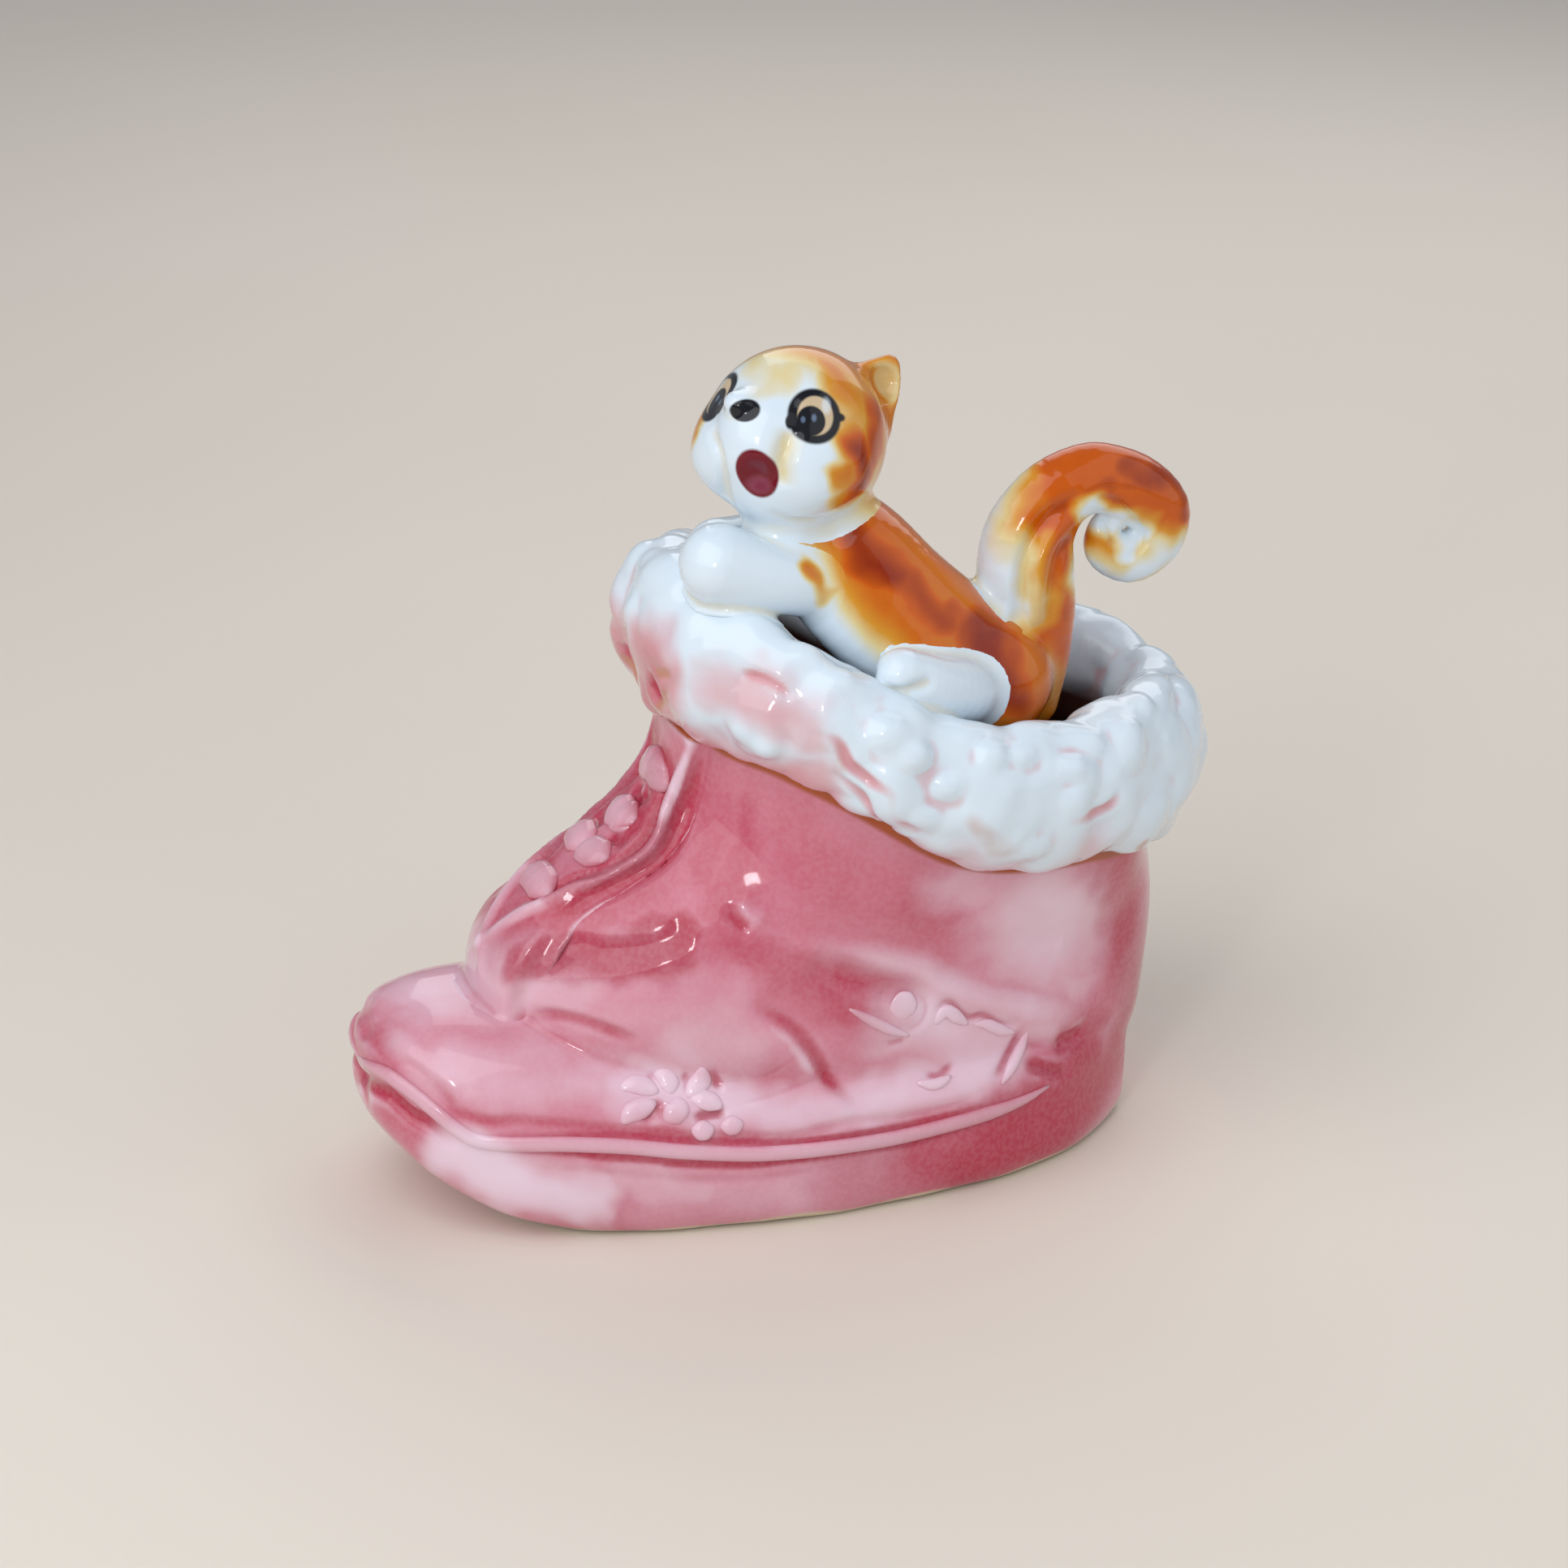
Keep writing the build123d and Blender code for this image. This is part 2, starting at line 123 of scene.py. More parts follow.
def curve_through(points, steps):
    """A smooth line through rows of numbers."""
    rows = np.asarray(points, float)
    padded = np.vstack([2 * rows[0] - rows[1], rows, 2 * rows[-1] - rows[-2]])
    out = []
    for i in range(1, len(padded) - 2):
        a, b, c, d = padded[i - 1:i + 3]
        for s in range(steps):
            t = s / steps
            out.append(0.5 * (2 * b + (c - a) * t + (2 * a - 5 * b + 4 * c - d) * t * t
                              + (3 * b - a - 3 * c + d) * t ** 3))
    out.append(rows[-1])
    return np.array(out)


def chain(room, rows, steps=5, flat=1.0, far=5.0):
    """Distance to a limb: rows of x, y, z, radius. A flat share below 1 makes it thinner across."""
    line = curve_through(rows, steps)
    reach = line[:, 3].max() + far
    window = room.window(line[:, :3].min(0) - reach, line[:, :3].max(0) + reach)
    grid = room.open(window)
    middle = float(np.mean(line[:, 0]))
    x = (grid[0] - middle) / flat
    line[:, 0] = (line[:, 0] - middle) / flat
    best = None
    for p, q in zip(line, line[1:]):
        a, ab = p[:3], q[:3] - p[:3]
        t = ((x - a[0]) * ab[0] + (grid[1] - a[1]) * ab[1] + (grid[2] - a[2]) * ab[2]) / (ab @ ab)
        t = np.clip(t, 0, 1)
        d = np.sqrt((x - a[0] - t * ab[0]) ** 2 + (grid[1] - a[1] - t * ab[1]) ** 2
                    + (grid[2] - a[2] - t * ab[2]) ** 2) - (p[3] + t * (q[3] - p[3]))
        best = d if best is None else np.minimum(best, d)
    field = np.full(room.count, far, np.float32)
    field[window] = np.minimum(best * math.sqrt(flat), far)
    return field


def cad_distance(room, node, reach):
    """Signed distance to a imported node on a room's cells, true within reach of its surface."""
    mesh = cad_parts[node].data
    mesh.calc_loop_triangles()
    points = np.zeros(len(mesh.vertices) * 3, np.float32)
    mesh.vertices.foreach_get("co", points)
    points = (points.reshape(-1, 3) / MM - room.low) / room.step
    corners = np.zeros(len(mesh.loop_triangles) * 3, np.int32)
    mesh.loop_triangles.foreach_get("vertices", corners)
    grid = openvdb.FloatGrid.createLevelSetFromPolygons(
        points.astype(np.float32), triangles=corners.reshape(-1, 3).astype(np.uint32),
        transform=openvdb.createLinearTransform(1.0), halfWidth=reach / room.step)
    field = np.zeros(room.count, np.float32)
    grid.copyToArray(field)
    return field * room.step


def blur(field, times):
    for _ in range(times):
        for axis in range(3):
            f = np.moveaxis(field, axis, 0)
            g = f.copy()
            g[1:-1] = 0.25 * f[:-2] + 0.5 * f[1:-1] + 0.25 * f[2:]
            field = np.moveaxis(g, 0, axis)
    return np.ascontiguousarray(field)


def resample(field, source, target):
    """A field on one room's cells, read at another's."""
    for axis in range(3):
        place = (target.axes[axis] - source.low[axis]) / source.step
        first = np.clip(np.floor(place).astype(int), 0, source.count[axis] - 2)
        share = np.clip(place - first, 0, 1).astype(np.float32)
        shape = [1, 1, 1]
        shape[axis] = -1
        share = share.reshape(shape)
        field = np.take(field, first, axis) * (1 - share) + np.take(field, first + 1, axis) * share
    return field


def luted(own, base, blend, depth=0.8):
    """A piece stuck on a base: its fillet runs out on the base, and it sinks in by the depth."""
    joined = smooth_min(own, base, blend) + 0.02
    return np.maximum(np.maximum(joined, own - blend - 0.3), -(base + depth))


# Skins: the surfaces of the pieces while they are worked

class Skin:
    def __init__(self, points, quads):
        self.points = np.asarray(points, float)
        self.quads = np.asarray(quads, np.int64)
        self.marks = {}
        edges = np.vstack([self.quads[:, [i, (i + 1) % 4]] for i in range(4)])
        self.edges = np.unique(np.sort(edges, 1), axis=0)
        self.degree = np.bincount(self.edges.ravel(), minlength=len(self.points)).clip(1)
        self.strayed = None

    def around(self, values):
        """The mean of the neighbours' values at each point."""
        a, b = self.edges.T
        n = len(self.points)
        if values.ndim == 1:
            return (np.bincount(a, values[b], n) + np.bincount(b, values[a], n)) / self.degree
        return np.stack([self.around(values[:, i]) for i in range(values.shape[1])], 1)

    def relax(self, times, share=0.5):
        for _ in range(times):
            self.points += share * (self.around(self.points) - self.points)
            self.points -= share * 0.98 * (self.around(self.points) - self.points)

    def soften(self, times):
        for _ in range(times):
            self.points += 0.5 * (self.around(self.points) - self.points)

    def normals(self):
        a, b, c, d = (self.points[self.quads[:, i]] for i in range(4))
        faces = np.cross(c - a, d - b)
        n = len(self.points)
        total = np.stack([sum(np.bincount(self.quads[:, i], faces[:, axis], n) for i in range(4))
                          for axis in range(3)], 1)
        return total / np.linalg.norm(total, axis=1).clip(1e-9)[:, None]

    def hollows(self, times=3):
        """How hollow (plus) or raised (minus) the surface is at each point."""
        bend = np.einsum("ij,ij->i", self.around(self.points) - self.points, self.normals())
        for _ in range(times):
            bend = self.around(bend)
        return bend

    def mark(self, name, values):
        old = self.marks.get(name, np.zeros(len(self.points)))
        self.marks[name] = np.maximum(old, values)


def skin_of(room, field, soften=1, crop=True):
    """The surface where a field is zero."""
    low = np.zeros(3)
    if crop:
        inside = field < room.step
        cuts = []
        for axis in range(3):
            hit = np.flatnonzero(inside.any(tuple(i for i in range(3) if i != axis)))
            cuts.append(slice(max(hit[0] - 3, 0), hit[-1] + 4))
        field = field[tuple(cuts)]
        low = np.array([cut.start for cut in cuts], float)
    limit = 3.0
    grid = openvdb.FloatGrid(limit)
    grid.copyFromArray(np.ascontiguousarray(np.clip(field / room.step, -limit, limit), dtype=np.float32))
    points, quads = grid.convertToQuads(isovalue=0.0)
    points = (np.asarray(points, float) + low) * room.step + room.low
    quads = np.asarray(quads, np.int64)
    a, b, c, d = (points[quads[:, i]] for i in range(4))
    if np.einsum("ij,ij->", (a + b + c + d) / 4 - points.mean(0), np.cross(c - a, d - b)) < 0:
        quads = quads[:, ::-1]
    skin = Skin(points, quads)
    skin.soften(soften)
    return skin


def tree_of(*skins):
    points, faces, start = [], [], 0
    for skin in skins:
        points.append(skin.points)
        faces.append(skin.quads + start)
        start += len(skin.points)
    return BVHTree.FromPolygons(np.vstack(points).tolist(), np.vstack(faces).tolist())


def cast(tree, across, down):
    """Where a line through a place of the photograph first meets a surface, and the facing there."""
    place, normal, _, _ = tree.ray_cast(Vector(EYE), Vector(ray(across, down)))
    if place is None:
        direction = ray(across, down)
        near = EYE + direction * EYE_DISTANCE
        for _ in range(6):
            found, normal, _, _ = tree.find_nearest(Vector(near))
            near = EYE + direction * np.dot(np.array(found) - EYE, direction)
        place = found
    return np.array(place), np.array(normal)


def line_on(tree, places, steps=4):
    """A smooth line over a surface through places of the photograph."""
    line = curve_through([cast(tree, *place)[0] for place in places], steps) if len(places) > 1 \
        else np.array([cast(tree, *places[0])[0]])
    return np.array([tree.find_nearest(Vector(p))[0] for p in line])


def measure(points, line):
    """The distance of points to a line, and how far along it each lies as a share."""
    if len(line) == 1:
        return np.linalg.norm(points - line[0], axis=1), np.full(len(points), 0.5)
    best = np.full(len(points), 1e9)
    share = np.zeros(len(points))
    lengths = np.linalg.norm(np.diff(line, axis=0), axis=1)
    total = max(lengths.sum(), 1e-6)
    start = 0.0
    for a, b, length in zip(line, line[1:], lengths):
        if length < 1e-9:
            continue
        ab = b - a
        t = np.clip((points - a) @ ab / (ab @ ab), 0, 1)
        d = np.linalg.norm(points - a - t[:, None] * ab, axis=1)
        closer = d < best
        best[closer] = d[closer]
        share[closer] = (start + t[closer] * length) / total
        start += length
    return best, share


def stroke(skin, line, radius, height=0.0, paint=None, points=None, taper=0.25, wide=1.5):
    """Works a line into a skin: raises or sinks it, and marks it with paint. Returns the raising."""
    points = skin.points if points is None else points
    reach = radius * wide
    near = np.flatnonzero(np.all((points > line.min(0) - reach) & (points < line.max(0) + reach), 1))
    raised = np.zeros(len(points))
    if not len(near):
        return raised
    distance, share = measure(points[near], line)
    length = np.linalg.norm(np.diff(line, axis=0), axis=1).sum() if len(line) > 1 else 0.0
    ends = np.clip(np.minimum(share, 1 - share) / taper, 0, 1) ** 0.5 if taper and length > radius else 1.0
    raised[near] = height * np.clip(1 - (distance / radius) ** 2, 0, 1) ** 2 * ends
    for name, amount in (paint or {}).items():
        values = np.zeros(len(points))
        values[near] = amount * np.clip(1 - (distance / reach) ** 2, 0, 1) ** 1.5 * ends
        skin.mark(name, values)
    return raised


def strayed(skin, size=8.0, reach=2.6):
    """The points moved about softly, so that a wash laid by them has an uneven edge."""
    if skin.strayed is None:
        drift = np.array([noise.noise_vector(Vector(p) / size) for p in skin.points])
        finer = np.array([noise.noise_vector(Vector(p) * 3 / size) for p in skin.points])
        skin.strayed = skin.points + reach * drift + reach * 0.4 * finer
    return skin.strayed


def mirrored(line):
    return line * np.array((-1.0, 1.0, 1.0))


def work(skin, tree, table, both_sides=True):
    """Works a table of strokes into a skin."""
    start = skin.points.copy()
    raised = np.zeros(len(start))
    for radius, height, paint, places in table:
        line = line_on(tree, places)
        for side in (line, mirrored(line)) if both_sides else (line,):
            raised += stroke(skin, side, radius, height, paint, start)
    low = min(-1.6, raised.min())
    raised = skin.around(np.clip(raised, max(low, -1.6), 1.6))
    skin.points += skin.normals() * raised[:, None]
    skin.relax(2)


def roll(tree, places, half_width, proud, sunk=0.5, steps=5, sides=14, ends=0.1, mirror_it=False):
    """A roll of clay laid on a surface along a line."""
    line = line_on(tree, places, steps)
    if mirror_it:
        line = mirrored(line)
    found = [tree.find_nearest(Vector(p)) for p in line]
    normals = np.array([np.array(f[1]) for f in found])
    for _ in range(3):
        normals[1:-1] = (normals[:-2] + normals[1:-1] + normals[2:]) / 3
    tangents = np.gradient(line, axis=0)
    lengths = np.concatenate([[0], np.cumsum(np.linalg.norm(np.diff(line, axis=0), axis=1))])
    rings, tops = [], []
    for p, n, t, s in zip(line, normals, tangents, lengths / lengths[-1]):
        n, t = unit(n), unit(t)
        b = unit(np.cross(n, t))
        size = min(1.0, max(0.05, min(s, 1 - s) / ends)) ** 0.5
        for side in range(sides):
            angle = 2 * math.pi * side / sides
            height = proud * max(math.sin(angle), 0) + sunk * min(math.sin(angle), 0)
            rings.append(p + b * half_width * size * math.cos(angle) + n * height * size)
            tops.append(max(math.sin(angle), 0))
    count = len(line)
    quads = [(r * sides + i, r * sides + (i + 1) % sides, (r + 1) * sides + (i + 1) % sides,
              (r + 1) * sides + i) for r in range(count - 1) for i in range(sides)]
    points = list(rings)
    for ring, flip in ((0, 1), (count - 1, 0)):
        middle = len(points)
        points.append(np.mean(rings[ring * sides:(ring + 1) * sides], 0))
        tops.append(0.5)
        for i in range(0, sides, 2):
            a, b, c = (ring * sides + (i + k) % sides for k in range(3))
            quads.append((a, b, c, middle) if not flip else (c, b, a, middle))
    return np.array(points), np.array(quads), np.array(tops)


def joined_rolls(rolls):
    points, quads, tops, start = [], [], [], 0
    for p, q, t in rolls:
        points.append(p)
        quads.append(q + start)
        tops.append(t)
        start += len(p)
    skin = Skin(np.vstack(points), np.vstack(quads))
    # The top mark tells the relief glaze where to paint a highlight along each roll
    skin.marks["top"] = np.concatenate(tops)
    return skin


def piece(name, skin, material, slot, *nodes):
    """Makes the mesh of a piece, standing for its nodes of the part."""
    mesh = bpy.data.meshes.new(name)
    mesh.from_pydata((skin.points * MM).tolist(), [], skin.quads.tolist())
    mesh.polygons.foreach_set("use_smooth", [True] * len(mesh.polygons))
    for mark, values in skin.marks.items():
        attribute = mesh.attributes.new(mark, "FLOAT", "POINT")
        attribute.data.foreach_set("value", np.asarray(values, np.float32))
    mesh.materials.append(material)
    mesh.validate()
    obj = bpy.data.objects.new(name, mesh)
    bpy.context.scene.collection.objects.link(obj)
    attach(obj, "root")
    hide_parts(*nodes)
    return obj


# Materials

class Paint:
    """A material built from short calls."""

    def __init__(self, name):
        self.material = bpy.data.materials.new(name)
        self.material.use_nodes = True
        self.tree = self.material.node_tree
        self.glaze = self.tree.nodes["Principled BSDF"]
        coordinates = self.tree.nodes.new("ShaderNodeTexCoord")
        self.place = coordinates.outputs["Object"]

    def put(self, value, socket):
        if isinstance(value, bpy.types.NodeSocket):
            self.tree.links.new(value, socket)
        else:
            socket.default_value = value

    def math(self, operation, a, b=0.0, c=0.0, clamp=False):
        node = self.tree.nodes.new("ShaderNodeMath")
        node.operation = operation
        node.use_clamp = clamp
        for value, socket in zip((a, b, c), node.inputs):
            self.put(value, socket)
        return node.outputs[0]

    def vector(self, operation, a, b=(0.0, 0.0, 0.0), out=0):
        node = self.tree.nodes.new("ShaderNodeVectorMath")
        node.operation = operation
        self.put(a, node.inputs[0])
        self.put(b, node.inputs[1])
        return node.outputs[out]

    def mark(self, name):
        node = self.tree.nodes.new("ShaderNodeAttribute")
        node.attribute_name = name
        return node.outputs["Fac"]

    def noise(self, scale, detail=2.0, roughness=0.5, distortion=0.0):
        node = self.tree.nodes.new("ShaderNodeTexNoise")
        self.put(self.place, node.inputs["Vector"])
        node.inputs["Scale"].default_value = scale
        node.inputs["Detail"].default_value = detail
        node.inputs["Roughness"].default_value = roughness
        node.inputs["Distortion"].default_value = distortion
        return node.outputs["Fac"]

    def ease(self, value, low, high, to_low=0.0, to_high=1.0):
        node = self.tree.nodes.new("ShaderNodeMapRange")
        node.interpolation_type = "SMOOTHSTEP"
        self.put(value, node.inputs["Value"])
        for name, number in (("From Min", low), ("From Max", high), ("To Min", to_low), ("To Max", to_high)):
            node.inputs[name].default_value = number
        return node.outputs["Result"]

    def mix(self, share, a, b):
        node = self.tree.nodes.new("ShaderNodeMix")
        node.data_type = "RGBA"
        self.put(share, node.inputs["Factor"])
        self.put(a, node.inputs[6])
        self.put(b, node.inputs[7])
        return node.outputs[2]

    def ramp(self, value, stops):
        node = self.tree.nodes.new("ShaderNodeValToRGB")
        self.put(value, node.inputs["Fac"])
        elements = node.color_ramp.elements
        while len(elements) < len(stops):
            elements.new(0.5)
        for element, (place, colour) in zip(elements, stops):
            element.position = place
            element.color = colour
        return node.outputs["Color"]

    def spot(self, centre, across, along, half, soft=0.12, deep=4.0):
        """A mask that is 1 in an oval on the surface about a centre."""
        rows = [np.asarray(across) / (half[0] * MM), np.asarray(along) / (half[1] * MM),
                np.cross(across, along) / (deep * MM)]
        offset = self.vector("SUBTRACT", self.place, tuple(np.asarray(centre) * MM))
        parts = self.tree.nodes.new("ShaderNodeCombineXYZ")
        for row, socket in zip(rows, parts.inputs):
            self.put(self.vector("DOT_PRODUCT", offset, tuple(row), out=1), socket)
        reach = self.vector("LENGTH", parts.outputs[0], out=1)
        return self.ease(reach, 1.0 - soft, 1.0 + soft, 1.0, 0.0)

    def finish(self, colour, roughness=0.3, bump=0.0, bump_scale=300.0, coat=1.0):
        glaze = self.glaze
        self.put(colour, glaze.inputs["Base Color"])
        self.put(roughness, glaze.inputs["Roughness"])
        glaze.inputs["Specular IOR Level"].default_value = 0.1
        glaze.inputs["Coat Weight"].default_value = coat
        glaze.inputs["Coat Roughness"].default_value = 0.07
        glaze.inputs["Coat IOR"].default_value = 1.38
        if bump:
            node = self.tree.nodes.new("ShaderNodeBump")
            node.inputs["Strength"].default_value = bump
            node.inputs["Distance"].default_value = 0.0002
            self.put(self.noise(bump_scale, 3.0), node.inputs["Height"])
            self.put(node.outputs[0], glaze.inputs["Normal"])
            self.put(node.outputs[0], glaze.inputs["Coat Normal"])
        return self.material


def colour(red, green, blue):
    """A paint colour given as screen values from 0 to 255."""
    return tuple(((c / 255 + 0.055) / 1.055) ** 2.4 if c > 10 else c / 255 / 12.92
                 for c in (red, green, blue)) + (1.0,)


PINK = colour(214, 132, 150)
ROSE = colour(186, 58, 82)
DEEP_ROSE = colour(140, 28, 48)
PALE = colour(238, 212, 226)
BISQUE = colour(214, 198, 168)
WHITE = colour(222, 236, 246)
CREAM = colour(226, 208, 150)
GOLD = colour(216, 150, 44)
ORANGE = colour(204, 90, 0)
BROWN = colour(140, 36, 0)
BLUSH = colour(220, 166, 172)
TAN = colour(196, 132, 92)
RUST = colour(176, 84, 40)
# Painted shade: the dark colour laid inside the boot and deep inside the cuff
INSIDE_SHADE = colour(66, 40, 34)
BLACK = colour(16, 18, 26)
RED = colour(112, 0, 26)
PURPLE = colour(140, 64, 88)


def pink_glaze(name, relief=False):
    p = Paint(name)
    soft = p.noise(90.0, 3.0)
    fine = p.noise(1400.0, 2.0)
    wobble = p.math("MULTIPLY", p.math("SUBTRACT", soft, 0.5), 0.5)
    # Deeper rose: pooled glaze in the creases, and painted shade in the grooves, hollows and the boot's darker
    # side
    rose_and_shade = p.ease(p.math("ADD", p.mark("rose_and_shade"), wobble), 0.08, 0.85)
    # Paler glaze: thinner glaze on what stands out, and painted highlights along the ridges and folds
    pale_and_highlight = p.ease(p.math("ADD", p.mark("pale_and_highlight"), wobble), 0.1, 0.95)
    shade = p.mix(rose_and_shade, PINK, ROSE)
    pale_and_highlight = p.math("MULTIPLY", pale_and_highlight, p.ease(p.mark("rose_and_shade"), 0.3, 0.95, 1.0, 0.25))
    shade = p.mix(pale_and_highlight, shade, PALE)
    # Darkest rose in the deepest grooves: pooled glaze and painted shade
    deep_rose_and_shade = p.mark("deep")
    shade = p.mix(p.ease(deep_rose_and_shade, 0.1, 1.0), shade, DEEP_ROSE)
    # Painted highlight: the tops of the welt bead, lace loops and sprigs are painted paler
    if relief:
        shade = p.mix(p.math("MULTIPLY", p.mark("top"), 0.45), shade, PALE)
    speckle = p.ease(fine, 0.35, 0.65, 0.0, 0.06)
    shade = p.mix(speckle, shade, PALE)
    shade = p.mix(p.ease(p.math("ADD", p.mark("tan"), wobble), 0.25, 0.9), shade, RUST)
    # Painted shade: the dark inside colour on the boot's inner walls
    shade = p.mix(p.mark("inside"), shade, INSIDE_SHADE)
    shade = p.mix(p.mark("bare"), shade, BISQUE)
    return p.finish(shade, 0.3, 0.05, 160.0)


def white_glaze(name):
    p = Paint(name)
    soft = p.noise(120.0, 3.0)
    wobble = p.math("MULTIPLY", p.math("SUBTRACT", soft, 0.5), 0.6)
    # Blush: a pink tint on the cuff, and painted shade in its hollows and creases
    blush_and_shade = p.ease(p.math("ADD", p.mark("blush_and_shade"), wobble), 0.05, 0.85)
    shade = p.mix(blush_and_shade, WHITE, BLUSH)
    # Rose in the cuff's deepest crease: pink glaze and painted shade
    rose_and_shade = p.ease(p.math("ADD", p.mark("rose_and_shade"), wobble), 0.2, 0.9)
    shade = p.mix(rose_and_shade, shade, ROSE)
    tan = p.ease(p.math("ADD", p.mark("tan"), wobble), 0.3, 1.0)
    shade = p.mix(tan, shade, TAN)
    # Painted shade: the dark inside colour deep within the cuff
    shade = p.mix(p.mark("inside"), shade, INSIDE_SHADE)
    return p.finish(shade, 0.26, 0.06, 260.0)


WARM_STOPS = ((0.0, WHITE), (0.22, CREAM), (0.45, GOLD), (0.72, ORANGE), (1.0, BROWN))


def warm_shade(p):
    soft = p.noise(170.0, 4.0, 0.6)
    wobble = p.math("MULTIPLY", p.math("SUBTRACT", soft, 0.5), 0.17)
    warm = p.mark("warm")
    shift = p.math("MULTIPLY", wobble, p.ease(warm, 0.02, 0.3))
    streak = p.math("ADD", warm, shift, clamp=True)
    return p.ramp(streak, WARM_STOPS)


def squirrel_glaze(name):
    p = Paint(name)
    return p.finish(warm_shade(p), 0.25, 0.08, 300.0)


# The boot, its lace panel and the fur cuff

boot_room = Room((-34, -57, -2.5), (34, 57, 83), 0.4)
boot_field = blur(cad_distance(boot_room, "boot_body", 3.2), 5)
panel_field = blur(cad_distance(boot_room, "lace_panel", 3.2), 3) - 0.1
ring_field = blur(cad_distance(boot_room, "fur_cuff", 8.0), 4) + 0.45
panel_field = luted(panel_field, boot_field, 1.6, 1.0)

boot = skin_of(boot_room, boot_field, 3)
panel = skin_of(boot_room, panel_field, 2)
cuff = skin_of(boot_room, ring_field, 3)
surface = tree_of(boot, panel, cuff)
boot_only = tree_of(boot, panel)

WELT_CREASE = ((448, 1272), (466, 1292), (492, 1303), (514, 1315), (537, 1333), (552, 1352), (565, 1371),
               (604, 1381), (640, 1380), (680, 1384), (718, 1387), (776, 1392), (840, 1397), (900, 1398),
               (968, 1400), (1012, 1390), (1055, 1380), (1103, 1378), (1153, 1366), (1197, 1353), (1218, 1343))
WELT_TOP = ((616, 1399), (696, 1399), (776, 1399), (840, 1405), (922, 1407), (968, 1408), (1035, 1402),
            (1103, 1391), (1153, 1379), (1204, 1365), (1255, 1348), (1302, 1326))
WELT_BEAD = ((441, 1300), (470, 1320), (500, 1340), (530, 1364), (560, 1389), (584, 1404), (616, 1409),
             (660, 1410), (702, 1410), (776, 1413), (840, 1419), (922, 1422), (968, 1420), (1035, 1413),
             (1103, 1402), (1153, 1390), (1204, 1376), (1255, 1358), (1292, 1338))
WELT_UNDER = ((584, 1414), (702, 1420), (744, 1425), (808, 1429), (830, 1433), (922, 1435), (968, 1430),
              (1035, 1423), (1103, 1412), (1153, 1400), (1204, 1385), (1255, 1368), (1285, 1352))
WELT_FAINT = ((620, 1436), (744, 1443), (824, 1452), (922, 1452), (968, 1446), (1035, 1438), (1069, 1431),
              (1147, 1420))
TOE_GROOVE = ((435, 1323), (450, 1330), (473, 1346), (489, 1359), (508, 1375), (524, 1382), (546, 1399),
              (565, 1408))

